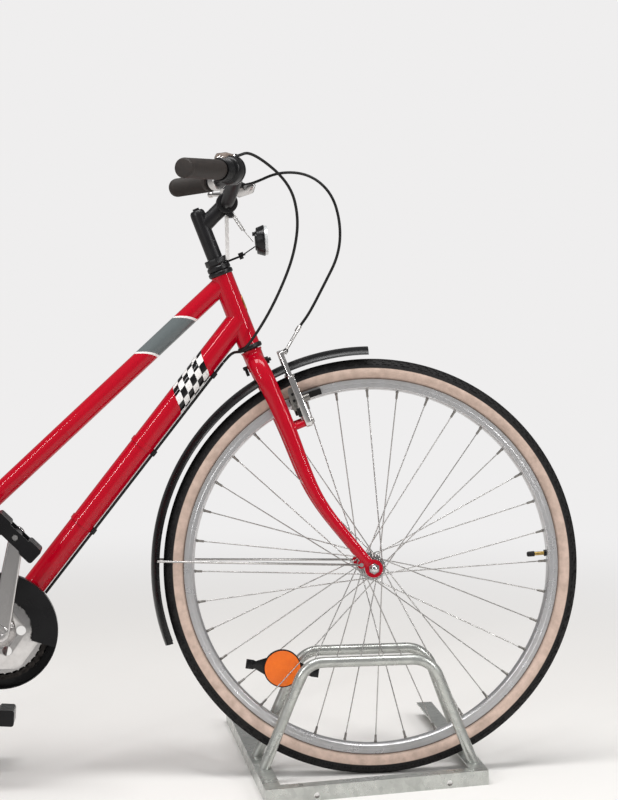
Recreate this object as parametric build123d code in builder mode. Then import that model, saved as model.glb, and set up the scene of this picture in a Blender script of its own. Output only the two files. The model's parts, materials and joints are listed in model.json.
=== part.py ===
from build123d import *
from math import acos, atan2, cos, degrees, hypot, pi, radians, sin, sqrt
import os

os.makedirs("parts", exist_ok=True)

# City bicycle with a low frame, standing with its front wheel in a floor rack and leaning to its left.
# Everything but the rack is drawn upright: X forward, Y to the rider's left, Z up, with the
# floor at Z = 0 and the front hub straight above the origin. The finished pieces are then leaned
# about the line that the tyres stand on, and moved so that the box of the whole is centred.
LEAN = 4.65

# Wheels with 37-622 tyres
TYRE_R = 350.0
TYRE_WIDTH = 37.0
TYRE_WALL = 3.2
TREAD_EDGE = 81.0
TREAD_FACETS = 6
SIDEWALL_FACETS = 2
BEAD_DEPTH = 7.0
BEAD_HALF = 9.8
RIM_LIP_R = 316.0
RIM_BED_R = 298.0
RIM_HALF = 12.0
RIM_LIP = 1.8
RIM_BED_HALF = 6.0
RIM_SHOULDER = 4.0
SPOKES_A_SIDE = 18
CROSSINGS = 3
SPOKE_R = 1.1
NIPPLE_R = 2.0
NIPPLE_LENGTH = 13.0
SPOKE_STAGGER = 2.6
SEAT_GAP = 0.2
RUNNING_GAP = 0.06
WHEELBASE = 1070.6

# Front hub and its axle
FRONT_OLD = 100.0
FRONT_FLANGE_Y = 34.0
FRONT_FLANGE_R = 21.5
FRONT_HOLE_R = 18.5
FRONT_BARREL_R = 12.0
FLANGE_THICKNESS = 3.0
HUB_END_GAP = 0.5
LOCKNUT_WIDTH = 7.0
FRONT_AXLE_R = 4.75
FRONT_NUT_R = 9.5

# Rear hub with a gear shell and one sprocket
REAR_OLD = 135.0
REAR_FLANGE_Y = 27.0
REAR_FLANGE_R = 38.0
REAR_HOLE_R = 34.5
REAR_BARREL_R = 29.0
REAR_AXLE_R = 5.0
REAR_NUT_R = 10.5
SPROCKET_TEETH = 19

# Steering axis and fork
HEAD_ANGLE = 70.0
RAKE = 55.6
CROWN_S = 385.0
CROWN_TOP_S = 411.0
STEERER_R = 12.7
CROWN_RACE_R = 18.0
CROWN_RACE_TOP_S = 413.3
FORK_END_R = 15.0
FORK_END_THICKNESS = 6.0

# Head tube and headset, as heights along the steering axis
HEAD_TUBE_R = 18.5
HEAD_TUBE_WALL = 3.0
HEAD_LOW_S = 423.0
HEAD_TUBE_LENGTH = 125.0
CUP_R = 21.0
CUP_HEIGHT = 8.5
CUP_CHAMFER = 1.8
STRAP_THICKNESS = 2.0
LOCKNUT_HEIGHT = 11.0
LOCKNUT_R = 18.5

# Stem and handlebar
QUILL_R = 11.1
QUILL_TOP_S = 665.0
QUILL_SLEEVE_R = 14.0
EXTENSION_S = 638.0
EXTENSION_R = 13.0
BAR_R = 11.1
BAR_X = -228.0
BAR_Z = 967.0
BAR_CLAMP_R = 18.0
BAR_CLAMP_WIDTH = 42.0
BAR_FLAT = 34.0
BAR_RISE_X = 17.0
BAR_RISE_Y = 84.0
BAR_RISE = 47.0
BAR_SWEEP_X = -94.0
BAR_SWEEP_Y = 172.0
BAR_SWEEP_Z = -4.0
BAR_BEND_R = 45.0
GRIP_R = 16.5
GRIP_LENGTH = 122.0
SHIFTER_LENGTH = 50.0
SHIFTER_R = 24.0

# Frame
BB_DROP = 85.0
BB_X = -623.6
BB_SHELL_R = 20.0
BB_SHELL_WIDTH = 68.0
BB_AXLE_R = 8.4
BB_CUP_R = 21.5
BB_CUP_WIDTH = 4.0
BB_CUP_CHAMFER = 0.8
SEAT_ANGLE = 72.0
SEAT_TUBE_R = 14.3
SEAT_TUBE_LENGTH = 500.0
SEAT_COLLAR_R = 18.3
SEAT_COLLAR_HEIGHT = 22.0
SEATPOST_R = 13.1
SEATPOST_TOP = 630.0
SEATPOST_FOOT = 350.0
TOP_TUBE_R = 15.9
TOP_TUBE_S = 536.0
TOP_TUBE_T = 182.0
DOWN_TUBE_R = 20.0
DOWN_TUBE_S = 468.0
STAY_R = 9.0
STAY_BEND_X = -745.0
STAY_BEND_Y = 38.0
SEAT_STAY_R = 7.0
SEAT_STAY_T = 470.0
DROPOUT_THICKNESS = 5.0
DROPOUT_R = 18.0

# Drive
CHAIN_Y = -50.0
CHAIN_PITCH = 12.7
RING_TEETH = 38
CHAIN_WIDTH = 8.4
CHAIN_HEIGHT = 8.0
CHAIN_WAIST = 5.2
CHAIN_PLATE_HALF = 2.2
RING_THICKNESS = 3.0
TOOTH_WIDTH = 5.0
TOOTH_SLOPE = 70.0
DISH_R = 62.0
DISH_WALL = 2.0
DISH_DEPTH = 5.0
DISH_HOLES = 5
DISH_HOLES_R = 35.0
DISH_HOLE_R = 8.0
CRANK_LENGTH = 165.0
CRANK_ANGLE = 11.7
CRANK_INNER_Y = 67.0
CRANK_THICKNESS = 13.0
CRANK_BOSS_R = 17.0
CRANK_EYE_R = 12.5
CRANK_CAP_R = 12.5
CRANK_CAP_HEIGHT = 2.2
CRANK_SOCKET_R = 6.5
SPINDLE_R = 5.5
PEDAL_GAP = 6.0
PEDAL_WIDTH = 92.0
PEDAL_LENGTH = 94.0
PEDAL_THICKNESS = 28.0
PEDAL_PLATE = 6.0
PEDAL_BLOCK = 28.0
PEDAL_BARREL_R = 10.0
PEDAL_ROUND = 5.0
PEDAL_RIBS = 6
PEDAL_GROOVE = 4.0
PEDAL_TILT = 45.0
LEFT_PEDAL_TILT = 4.0
GUARD_R = 96.0
GUARD_OPENING_R = 54.0
GUARD_Y = -61.5
GUARD_WALL = 1.8
GUARD_BRACKET_R = 3.5

# Mudguards
MUDGUARD_R = 371.0
MUDGUARD_DEPTH = 14.0
MUDGUARD_HALF = 23.0
MUDGUARD_WALL = 1.6
FRONT_GUARD_START = 89.5
FRONT_GUARD_END = 199.4
REAR_GUARD_START = 4.0
REAR_GUARD_END = 196.0
GUARD_STAY_R = 1.9
STAY_ABOVE_EDGE = 4.0
STAY_BOLT_R = 3.4
STAY_BOLT_IN = 4.0
STAY_BOLT_OUT = 3.0

# Saddle
SADDLE_LENGTH = 262.0
SADDLE_HALF = 98.0
SADDLE_NOSE_DEPTH = 30.0
SADDLE_WAIST = 32.0
SADDLE_WAIST_AT = 96.0
SADDLE_WIDEST_AT = 50.0
SADDLE_CROWN = 15.0
SADDLE_TOP = 936.0
SADDLE_THICKNESS = 52.0
SADDLE_FRONT_X = -672.0
SADDLE_RAIL_R = 3.5
SADDLE_RAIL_BEND = 8.0
RAIL_NOSE_Y = 10.0
RAIL_Y = 22.0
RAIL_TAIL_Y = 35.0
CLAMP_R = 12.0
CLAMP_HALF = 30.0

# Floor rack
RAIL_HEIGHT = 24.5
RAIL_WIDTH = 28.0
RAIL_WALL = 2.5
RACK_SKEW = 12.9
RAIL_SKEW = 3.5
RACK_CORNER_X = -197.0
RACK_CORNER_Y = -200.0
RACK_FRONT_LENGTH = 384.0
RACK_FAR_Y = 440.0
RACK_HOLES = (64.0, 332.0)
RACK_HOLE_R = 4.5
WEB_HOLES = (87.0, 316.0)
WEB_HOLE_R = 4.8
WEB_HOLE_Z = 8.5
HOOP_TUBE_R = 9.0
HOOP_NEAR_Y = -51.0
HOOP_SPACING = 104.0
HOOP_TOP_Z = 202.0
HOOP_LEFT_X = -118.0
HOOP_RIGHT_X = 92.0
HOOP_BEND_R = 45.0

# Places worked out from the sizes above
FRONT_HUB = Vector(0, 0, TYRE_R)
REAR_HUB = Vector(-WHEELBASE, 0, TYRE_R)
BB = Vector(BB_X, 0, TYRE_R - BB_DROP)
LEFT = Vector(0, 1, 0)
STEER_UP = Vector(-cos(radians(HEAD_ANGLE)), 0, sin(radians(HEAD_ANGLE)))
STEER_FORWARD = Vector(sin(radians(HEAD_ANGLE)), 0, cos(radians(HEAD_ANGLE)))
STEER_FOOT = FRONT_HUB - STEER_FORWARD * RAKE
SEAT_UP = Vector(-cos(radians(SEAT_ANGLE)), 0, sin(radians(SEAT_ANGLE)))
HEAD_HIGH_S = HEAD_LOW_S + HEAD_TUBE_LENGTH
RING_PITCH_R = CHAIN_PITCH / (2 * sin(pi / RING_TEETH))
SPROCKET_PITCH_R = CHAIN_PITCH / (2 * sin(pi / SPROCKET_TEETH))
DROPOUT_Y = REAR_OLD / 2
FORK_END_Y = FRONT_OLD / 2
CRANK_UP = Vector(sin(radians(CRANK_ANGLE)), 0, cos(radians(CRANK_ANGLE)))


def steer_point(height, forward=0.0, left=0.0):
    """A point given by its height along the steering axis, ahead of it and to the left."""
    return STEER_FOOT + STEER_UP * height + STEER_FORWARD * forward + LEFT * left


def steer_plane(height, forward=0.0, left=0.0):
    """A plane square to the steering axis, its x axis forward and its y axis to the left."""
    return Plane(origin=steer_point(height, forward, left), x_dir=STEER_FORWARD, z_dir=STEER_UP)


def seat_point(height):
    """A point of the seat tube's axis above the bottom bracket."""
    return BB + SEAT_UP * height


def side_plane(left):
    """An upright plane along the bicycle, its x axis forward, its y axis up, facing right."""
    return Plane(origin=(0, left, 0), x_dir=(1, 0, 0), z_dir=(0, -1, 0))


def hub_plane(hub, angle=0.0):
    """A plane through a hub's axis, its x axis radial at an angle above forward, its y axis left."""
    outward = Vector(cos(radians(angle)), 0, sin(radians(angle)))
    return Plane(origin=hub, x_dir=outward, z_dir=outward.cross(LEFT))


def hub_axis(hub):
    """The axis of a wheel, turning forward towards up."""
    return Axis(hub, (0, -1, 0))


def round_bar(start, end, radius, mode=Mode.ADD):
    """A round bar between two points."""
    run = end - start
    with Locations(Plane(origin=start, z_dir=run)):
        Cylinder(radius, run.length, align=(Align.CENTER, Align.CENTER, Align.MIN), mode=mode)


def bent_bar(points, bends, radius, mode=Mode.ADD):
    """A round bar along straight runs joined by arcs."""
    with BuildLine() as line:
        FilletPolyline(*points, radius=bends)
    route = line.wires()[0]
    with BuildSketch(Plane(origin=route @ 0, z_dir=route % 0)) as section:
        Circle(radius)
    sweep(section.sketch, path=route, mode=mode)


# Floor rack: one cross rail at the right-hand side, two long rails and two hoops welded on top
skew_front = Vector(cos(radians(RACK_SKEW)), sin(radians(RACK_SKEW)), 0)
skew_side = Vector(-sin(radians(RAIL_SKEW)), cos(radians(RAIL_SKEW)), 0)
corner_left = Vector(RACK_CORNER_X, RACK_CORNER_Y, 0)
corner_right = corner_left + skew_front * RACK_FRONT_LENGTH
side_right = Vector(skew_side.Y, -skew_side.X, 0)


def rail_end(corner):
    """The far end of a long rail that starts at a corner of the rack."""
    return corner + skew_side * ((RACK_FAR_Y - corner.Y) / skew_side.Y)


def rail_x(corner, inward, y):
    """Where the middle of a long rail lies at a distance across the rack."""
    return corner.X + skew_side.X * (y - corner.Y) / skew_side.Y + inward * RAIL_WIDTH / 2


left_far = rail_end(corner_left)
right_far = rail_end(corner_right)
inner_left = corner_left + side_right * RAIL_WIDTH
inner_right = corner_right - side_right * RAIL_WIDTH


def inner_near(corner):
    """Where the inside of a long rail meets the inside of the cross rail."""
    normal = Vector(-skew_front.Y, skew_front.X, 0)
    along = (RAIL_WIDTH - (corner - corner_left).dot(normal)) / skew_side.dot(normal)
    return corner + skew_side * along


with BuildPart() as rack_base:
    with BuildSketch(Plane.XY):
        Polygon(
            corner_left,
            corner_right,
            right_far,
            right_far - side_right * RAIL_WIDTH,
            inner_near(inner_right),
            inner_near(inner_left),
            left_far + side_right * RAIL_WIDTH,
            left_far,
            align=None,
        )
    extrude(amount=RAIL_HEIGHT)
    hollow_left = corner_left + skew_front * RAIL_WALL + skew_side * RAIL_WALL
    hollow_right = corner_right - skew_front * RAIL_WALL + skew_side * RAIL_WALL
    past = skew_side * RAIL_WIDTH
    with BuildSketch(Plane.XY):
        Polygon(
            hollow_left,
            hollow_right,
            right_far - side_right * RAIL_WALL + past,
            right_far - side_right * 2 * RAIL_WIDTH + past,
            inner_near(inner_right - side_right * RAIL_WIDTH) + past,
            inner_near(inner_left + side_right * RAIL_WIDTH) + past,
            left_far + side_right * 2 * RAIL_WIDTH + past,
            left_far + side_right * RAIL_WALL + past,
            align=None,
        )
    extrude(amount=RAIL_HEIGHT - RAIL_WALL, mode=Mode.SUBTRACT)
    for along in RACK_HOLES:
        hole = corner_left + skew_front * along + Vector(-skew_front.Y, skew_front.X, 0) * RAIL_WIDTH / 2
        round_bar(hole, hole + Vector(0, 0, RAIL_HEIGHT + 1), RACK_HOLE_R, mode=Mode.SUBTRACT)
    web_in = Vector(-skew_front.Y, skew_front.X, 0)
    for along in WEB_HOLES:
        hole = corner_left + skew_front * along + Vector(0, 0, WEB_HOLE_Z)
        round_bar(hole - web_in, hole + web_in * 2 * RAIL_WALL, WEB_HOLE_R, mode=Mode.SUBTRACT)


def rack_hoop(across):
    """A welded hoop that keeps the wheel on one side, its feet on the long rails."""
    left_foot = Vector(rail_x(corner_left, 1, across), across, RAIL_HEIGHT)
    right_foot = Vector(rail_x(corner_right, -1, across), across, RAIL_HEIGHT)
    shoulder_left = Vector(HOOP_LEFT_X, across, HOOP_TOP_Z)
    shoulder_right = Vector(HOOP_RIGHT_X, across, HOOP_TOP_Z)
    low_left = left_foot + (left_foot - shoulder_left).normalized() * HOOP_TUBE_R
    low_right = right_foot + (right_foot - shoulder_right).normalized() * HOOP_TUBE_R
    with BuildPart() as hoop:
        bent_bar([low_left, shoulder_left, shoulder_right, low_right], HOOP_BEND_R, HOOP_TUBE_R)
        split(bisect_by=Plane.XY.offset(RAIL_HEIGHT), keep=Keep.TOP)
    return hoop


rack_hoop_near = rack_hoop(HOOP_NEAR_Y)
rack_hoop_far = rack_hoop(HOOP_NEAR_Y + HOOP_SPACING)


# Wheels
def tyre_section():
    """Half of a tyre's outline as radius and sideways pairs: tread, sidewall, bead and inside."""
    middle_r = (TYRE_R**2 - RIM_LIP_R**2 - BEAD_HALF**2) / (2 * (TYRE_R - RIM_LIP_R))
    section_r = TYRE_R - middle_r
    bead_angle = degrees(atan2(BEAD_HALF, RIM_LIP_R - middle_r))
    tread_step = TREAD_EDGE / (TREAD_FACETS / 2 - 0.5)
    angles = [tread_step * (index + 0.5) for index in range(TREAD_FACETS // 2)]
    wall_step = (bead_angle - TREAD_EDGE) / SIDEWALL_FACETS
    angles += [TREAD_EDGE + wall_step * (index + 1) for index in range(SIDEWALL_FACETS)]
    inner_half = BEAD_HALF - TYRE_WALL
    bead_r = RIM_LIP_R - BEAD_DEPTH
    crown_r = section_r / cos(radians(tread_step / 2 - LEAN))
    radii = [crown_r if angle <= TREAD_EDGE else section_r for angle in angles]
    outside = [(middle_r + r * cos(radians(a)), r * sin(radians(a))) for r, a in zip(radii, angles)]
    hollow_r = section_r - TYRE_WALL
    inside = [(middle_r + hollow_r * cos(radians(a)), hollow_r * sin(radians(a))) for a in (90.0, 30.0)]
    return outside + [(bead_r, BEAD_HALF), (bead_r, inner_half)] + inside


def tyre_ring(hub):
    """A slick tyre: tread and sidewalls outside, hollow inside, its beads between the rim's lips."""
    half = tyre_section()
    with BuildPart() as tyre:
        with BuildSketch(hub_plane(hub)):
            Polygon(*half, *[(radius, -across) for radius, across in reversed(half)], align=None)
        revolve(axis=hub_axis(hub))
    return tyre


def rim_ring(hub):
    """An aluminium rim: a box with a lip each side that holds the tyre."""
    well_r = RIM_LIP_R - BEAD_DEPTH - SEAT_GAP
    lip_half = RIM_HALF - RIM_LIP
    with BuildPart() as rim:
        with BuildSketch(hub_plane(hub)):
            Polygon(
                (RIM_BED_R, -RIM_BED_HALF),
                (RIM_BED_R, RIM_BED_HALF),
                (RIM_BED_R + RIM_SHOULDER, RIM_HALF),
                (RIM_LIP_R, RIM_HALF),
                (RIM_LIP_R, lip_half),
                (well_r, lip_half),
                (well_r, -lip_half),
                (RIM_LIP_R, -lip_half),
                (RIM_LIP_R, -RIM_HALF),
                (RIM_BED_R + RIM_SHOULDER, -RIM_HALF),
                align=None,
            )
        revolve(axis=hub_axis(hub))
    return rim


def spoke_runs(hub, hole_r, flange_r, flange_y):
    """Start and end of each spoke, laced three over three on both flanges."""
    step = 360 / SPOKES_A_SIDE
    edge_drop = sqrt(flange_r**2 - hole_r**2) * flange_y / RIM_BED_R
    runs = []
    for side in (1, -1):
        for hole in range(SPOKES_A_SIDE):
            lead = 1 if hole % 2 else -1
            start_angle = radians(hole * step + (step / 2 if side < 0 else 0))
            end_angle = start_angle + lead * radians(CROSSINGS * step)
            head = FLANGE_THICKNESS / 2 + SPOKE_R + RUNNING_GAP + (edge_drop if lead > 0 else 0)
            start_y = side * (flange_y + lead * head)
            start = hub + Vector(hole_r * cos(start_angle), start_y, hole_r * sin(start_angle))
            end = hub + Vector(RIM_BED_R * cos(end_angle), side * SPOKE_STAGGER, RIM_BED_R * sin(end_angle))
            runs.append((start, end))
    return runs


def spoke_set(hub, hole_r, flange_r, flange_y):
    """All spokes of a wheel, each with its nipple at the rim."""
    runs = spoke_runs(hub, hole_r, flange_r, flange_y)
    length = min((end - start).length for start, end in runs) - 2 * SEAT_GAP
    spoke_planes = [Plane(origin=start, z_dir=end - start) for start, end in runs]
    nipple_planes = [plane.offset(length - NIPPLE_LENGTH) for plane in spoke_planes]
    with BuildPart() as spokes:
        with BuildSketch(*spoke_planes):
            RegularPolygon(SPOKE_R, 6)
        extrude(amount=length)
        with BuildSketch(*nipple_planes):
            RegularPolygon(NIPPLE_R, 6)
        extrude(amount=NIPPLE_LENGTH)
    return spokes


def lathe(hub, profile):
    """A turned piece about a hub's axis from a list of radius and sideways pairs."""
    with BuildPart() as turned:
        with BuildSketch(hub_plane(hub)):
            Polygon(*profile, align=None)
        revolve(axis=hub_axis(hub))
    return turned


front_tyre = tyre_ring(FRONT_HUB)
front_rim = rim_ring(FRONT_HUB)
front_spokes = spoke_set(FRONT_HUB, FRONT_HOLE_R, FRONT_FLANGE_R, FRONT_FLANGE_Y)
rear_tyre = tyre_ring(REAR_HUB)
rear_rim = rim_ring(REAR_HUB)
rear_spokes = spoke_set(REAR_HUB, REAR_HOLE_R, REAR_FLANGE_R, REAR_FLANGE_Y)

front_hub_half = FORK_END_Y - LOCKNUT_WIDTH - HUB_END_GAP
front_flange_out = FRONT_FLANGE_Y + FLANGE_THICKNESS / 2
front_flange_in = FRONT_FLANGE_Y - FLANGE_THICKNESS / 2
front_bore = FRONT_AXLE_R + RUNNING_GAP
front_half_profile = [
    (FRONT_BARREL_R, front_flange_in - FLANGE_THICKNESS),
    (FRONT_BARREL_R + FLANGE_THICKNESS, front_flange_in),
    (FRONT_FLANGE_R, front_flange_in),
    (FRONT_FLANGE_R, front_flange_out),
    (FRONT_BARREL_R + FLANGE_THICKNESS, front_flange_out),
    (FRONT_BARREL_R, front_hub_half),
]
front_hub = lathe(
    FRONT_HUB,
    [(front_bore, -front_hub_half)]
    + [(radius, -across) for radius, across in reversed(front_half_profile)]
    + front_half_profile
    + [(front_bore, front_hub_half)],
)

with BuildPart() as front_axle:
    axle_half = FORK_END_Y + FORK_END_THICKNESS + LOCKNUT_WIDTH
    round_bar(FRONT_HUB - LEFT * axle_half, FRONT_HUB + LEFT * axle_half, FRONT_AXLE_R)
    for side in (1, -1):
        inner = FRONT_HUB + LEFT * side * (FORK_END_Y - LOCKNUT_WIDTH)
        round_bar(inner, FRONT_HUB + LEFT * side * FORK_END_Y, FRONT_NUT_R - 1.5)
        seat = FRONT_HUB + LEFT * side * (FORK_END_Y + FORK_END_THICKNESS)
        with BuildSketch(Plane(origin=seat, z_dir=LEFT * side)):
            RegularPolygon(FRONT_NUT_R, 6)
        extrude(amount=LOCKNUT_WIDTH)
        with Locations(seat + LEFT * side * LOCKNUT_WIDTH):
            Sphere(FRONT_NUT_R - 2.0)

# Rear hub with its sprocket, and the fixed rear axle
rear_hub_half = DROPOUT_Y - LOCKNUT_WIDTH - HUB_END_GAP
rear_bore = REAR_AXLE_R + RUNNING_GAP
rear_flange_out = REAR_FLANGE_Y + FLANGE_THICKNESS / 2
rear_flange_in = REAR_FLANGE_Y - FLANGE_THICKNESS / 2
sprocket_face = -CHAIN_Y - RING_THICKNESS / 2
with BuildPart() as rear_hub:
    with BuildSketch(hub_plane(REAR_HUB)):
        Polygon(
            (rear_bore, -rear_hub_half),
            (REAR_NUT_R, -rear_hub_half),
            (REAR_BARREL_R * 0.6, -sprocket_face),
            (REAR_BARREL_R * 0.8, -rear_flange_out - FLANGE_THICKNESS),
            (REAR_BARREL_R, -rear_flange_out),
            (REAR_FLANGE_R, -rear_flange_out),
            (REAR_FLANGE_R, -rear_flange_in),
            (REAR_BARREL_R, -rear_flange_in),
            (REAR_BARREL_R, rear_flange_in),
            (REAR_FLANGE_R, rear_flange_in),
            (REAR_FLANGE_R, rear_flange_out),
            (REAR_BARREL_R, rear_flange_out),
            (REAR_BARREL_R * 0.6, rear_hub_half - LOCKNUT_WIDTH),
            (REAR_NUT_R, rear_hub_half),
            (rear_bore, rear_hub_half),
            align=None,
        )
    revolve(axis=hub_axis(REAR_HUB))
    with BuildSketch(side_plane(CHAIN_Y + RING_THICKNESS / 2)):
        with Locations((REAR_HUB.X, REAR_HUB.Z)):
            Circle(SPROCKET_PITCH_R - CHAIN_HEIGHT / 2 - 1.0)
            Circle(rear_bore, mode=Mode.SUBTRACT)
    extrude(amount=RING_THICKNESS)

with BuildPart() as rear_axle:
    rear_half = DROPOUT_Y + DROPOUT_THICKNESS + LOCKNUT_WIDTH
    round_bar(REAR_HUB - LEFT * (rear_half + 6), REAR_HUB + LEFT * (rear_half + 6), REAR_AXLE_R)
    for side in (1, -1):
        inner = REAR_HUB + LEFT * side * (DROPOUT_Y - LOCKNUT_WIDTH)
        round_bar(inner, REAR_HUB + LEFT * side * DROPOUT_Y, REAR_NUT_R - 1.5)
        seat = REAR_HUB + LEFT * side * (DROPOUT_Y + DROPOUT_THICKNESS)
        with BuildSketch(Plane(origin=seat, z_dir=LEFT * side)):
            RegularPolygon(REAR_NUT_R, 6)
        extrude(amount=LOCKNUT_WIDTH)

# Fork: steerer, crown where the blades grow out of it, raked blades, ends and brake bosses
BLADE = [
    (400.0, 0.0, 9.0, 13.5, 9.0),
    (385.0, 1.0, 26.0, 15.5, 11.0),
    (366.0, 3.0, 35.5, 15.5, 10.5),
    (320.0, 6.0, 38.5, 14.5, 10.5),
    (250.0, 8.0, 42.0, 13.0, 10.0),
    (190.0, 8.0, 45.5, 11.5, 9.0),
    (140.0, 12.5, 48.5, 10.0, 8.0),
    (88.0, 25.5, 51.5, 9.2, 7.0),
    (37.0, 42.0, 53.0, 8.8, 5.5),
    (10.0, 51.5, 53.0, 8.4, 3.5),
]
CROWN_SKIRT = 6.0
CROWN_FOOT_DEEP = 16.0
CROWN_FOOT_WIDE = 27.0
CROWN_TOP_R = 17.0
EYELET = Vector(-21.0, 0, 7.0)
EYELET_R = 6.5
BOSS_FOOT_N = 8.0
BOSS_S = 268.0
BOSS_N = 38.0
BOSS_R = 6.0
BOSS_LEFT = 41.0
with BuildPart() as fork:
    steerer_top = HEAD_HIGH_S + 2 * CUP_HEIGHT + STRAP_THICKNESS + LOCKNUT_HEIGHT
    round_bar(steer_point(CROWN_S), steer_point(steerer_top), STEERER_R)
    with BuildSketch(steer_plane(CROWN_S - CROWN_SKIRT)):
        Ellipse(CROWN_FOOT_DEEP, CROWN_FOOT_WIDE)
    with BuildSketch(steer_plane(CROWN_TOP_S)):
        Circle(CROWN_TOP_R)
    loft()
    round_bar(steer_point(CROWN_TOP_S - 1), steer_point(CROWN_RACE_TOP_S), CROWN_RACE_R)
    for side in (1, -1):
        for index, (height, forward, left, deep, wide) in enumerate(BLADE):
            before = BLADE[max(index - 1, 0)]
            after = BLADE[min(index + 1, len(BLADE) - 1)]
            start = steer_point(before[0], before[1], side * before[2])
            end = steer_point(after[0], after[1], side * after[2])
            down = (end - start).normalized()
            across = (LEFT - down * LEFT.dot(down)).normalized()
            middle = steer_point(height, forward, side * left)
            with BuildSketch(Plane(origin=middle, x_dir=across, z_dir=down)):
                Ellipse(wide, deep)
        loft()
        with BuildSketch(side_plane(FORK_END_Y + FORK_END_THICKNESS if side > 0 else -FORK_END_Y)):
            with Locations((FRONT_HUB.X, FRONT_HUB.Z)):
                Circle(FORK_END_R)
            with Locations((FRONT_HUB.X + EYELET.X, FRONT_HUB.Z + EYELET.Z)):
                Circle(EYELET_R)
        extrude(amount=FORK_END_THICKNESS)
        boss_foot = steer_point(BOSS_S, BOSS_FOOT_N, side * BOSS_LEFT)
        round_bar(boss_foot, steer_point(BOSS_S, BOSS_N, side * BOSS_LEFT), BOSS_R)
    axle_reach = LEFT * FRONT_OLD
    round_bar(FRONT_HUB - axle_reach, FRONT_HUB + axle_reach, FRONT_AXLE_R + RUNNING_GAP, mode=Mode.SUBTRACT)
    bore_foot = steer_point(HEAD_LOW_S)
    round_bar(bore_foot, steer_point(QUILL_TOP_S), QUILL_R + RUNNING_GAP, mode=Mode.SUBTRACT)

# Headset: cups in the head tube, and the threaded cup and locknut on the steerer
steerer_bore = STEERER_R + RUNNING_GAP
strap_s = HEAD_HIGH_S + 2 * CUP_HEIGHT + SEAT_GAP
locknut_s = strap_s + STRAP_THICKNESS + SEAT_GAP


def steer_ring(low, high, outer, inner, mode=Mode.ADD):
    """A plain ring about the steering axis."""
    with BuildSketch(steer_plane(low)) as ring:
        Circle(outer)
        Circle(inner, mode=Mode.SUBTRACT)
    extrude(ring.sketch, amount=high - low, mode=mode)


with BuildPart() as headset_cups:
    steer_ring(HEAD_LOW_S - CUP_HEIGHT, HEAD_LOW_S, CUP_R, steerer_bore)
    steer_ring(HEAD_HIGH_S, HEAD_HIGH_S + CUP_HEIGHT, CUP_R, steerer_bore)
    chamfer(headset_cups.edges().filter_by(GeomType.CIRCLE).group_by(SortBy.RADIUS)[-1], CUP_CHAMFER)

with BuildPart() as headset_locknut:
    steer_ring(HEAD_HIGH_S + CUP_HEIGHT + SEAT_GAP, HEAD_HIGH_S + 2 * CUP_HEIGHT, CUP_R - 1.0, steerer_bore)
    with BuildSketch(steer_plane(locknut_s)):
        RegularPolygon(LOCKNUT_R, 8)
        Circle(steerer_bore, mode=Mode.SUBTRACT)
    extrude(amount=LOCKNUT_HEIGHT)

# Head tube and frame tubes, each coped to the tube that it is welded to
head_low = steer_point(HEAD_LOW_S)
head_high = steer_point(HEAD_HIGH_S)
cope_low = steer_point(HEAD_LOW_S - TOP_TUBE_R)
cope_high = steer_point(HEAD_HIGH_S + TOP_TUBE_R)
with BuildPart() as head_tube:
    round_bar(head_low, head_high, HEAD_TUBE_R)
    round_bar(head_low, head_high, HEAD_TUBE_R - HEAD_TUBE_WALL, mode=Mode.SUBTRACT)

top_start = steer_point(TOP_TUBE_S)
down_start = steer_point(DOWN_TUBE_S)
seat_high = seat_point(SEAT_TUBE_LENGTH)
collar_foot = seat_point(SEAT_TUBE_LENGTH - SEAT_COLLAR_HEIGHT)
shell_left = BB + LEFT * BB_SHELL_WIDTH / 2
shell_right = BB - LEFT * BB_SHELL_WIDTH / 2

with BuildPart() as top_tube:
    round_bar(top_start, seat_point(TOP_TUBE_T), TOP_TUBE_R)
    round_bar(cope_low, cope_high, HEAD_TUBE_R, mode=Mode.SUBTRACT)
    round_bar(BB, seat_high, SEAT_TUBE_R, mode=Mode.SUBTRACT)
    round_bar(down_start, BB, DOWN_TUBE_R, mode=Mode.SUBTRACT)

with BuildPart() as down_tube:
    round_bar(down_start, BB, DOWN_TUBE_R)
    round_bar(cope_low, cope_high, HEAD_TUBE_R, mode=Mode.SUBTRACT)
    round_bar(shell_left, shell_right, BB_SHELL_R, mode=Mode.SUBTRACT)
    round_bar(BB, seat_high, SEAT_TUBE_R, mode=Mode.SUBTRACT)

with BuildPart() as seat_tube:
    round_bar(BB, seat_high, SEAT_TUBE_R)
    round_bar(shell_left, shell_right, BB_SHELL_R)
    round_bar(collar_foot, seat_high, SEAT_COLLAR_R)
    post_pocket = seat_point(SEATPOST_FOOT - 2)
    round_bar(post_pocket, seat_high + SEAT_UP, SEATPOST_R + RUNNING_GAP, mode=Mode.SUBTRACT)
    round_bar(shell_left, shell_right, BB_AXLE_R + RUNNING_GAP, mode=Mode.SUBTRACT)

with BuildPart() as bottom_bracket_cups:
    for side in (1, -1):
        cup_foot = BB + LEFT * side * (BB_SHELL_WIDTH / 2 + SEAT_GAP)
        round_bar(cup_foot, cup_foot + LEFT * side * BB_CUP_WIDTH, BB_CUP_R)
    chamfer(bottom_bracket_cups.edges().filter_by(GeomType.CIRCLE), BB_CUP_CHAMFER)
    round_bar(shell_left * 2 - BB, shell_right * 2 - BB, BB_AXLE_R + RUNNING_GAP, mode=Mode.SUBTRACT)

with BuildPart() as seatpost:
    round_bar(seat_point(SEATPOST_FOOT), seat_point(SEATPOST_TOP), SEATPOST_R)


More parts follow.
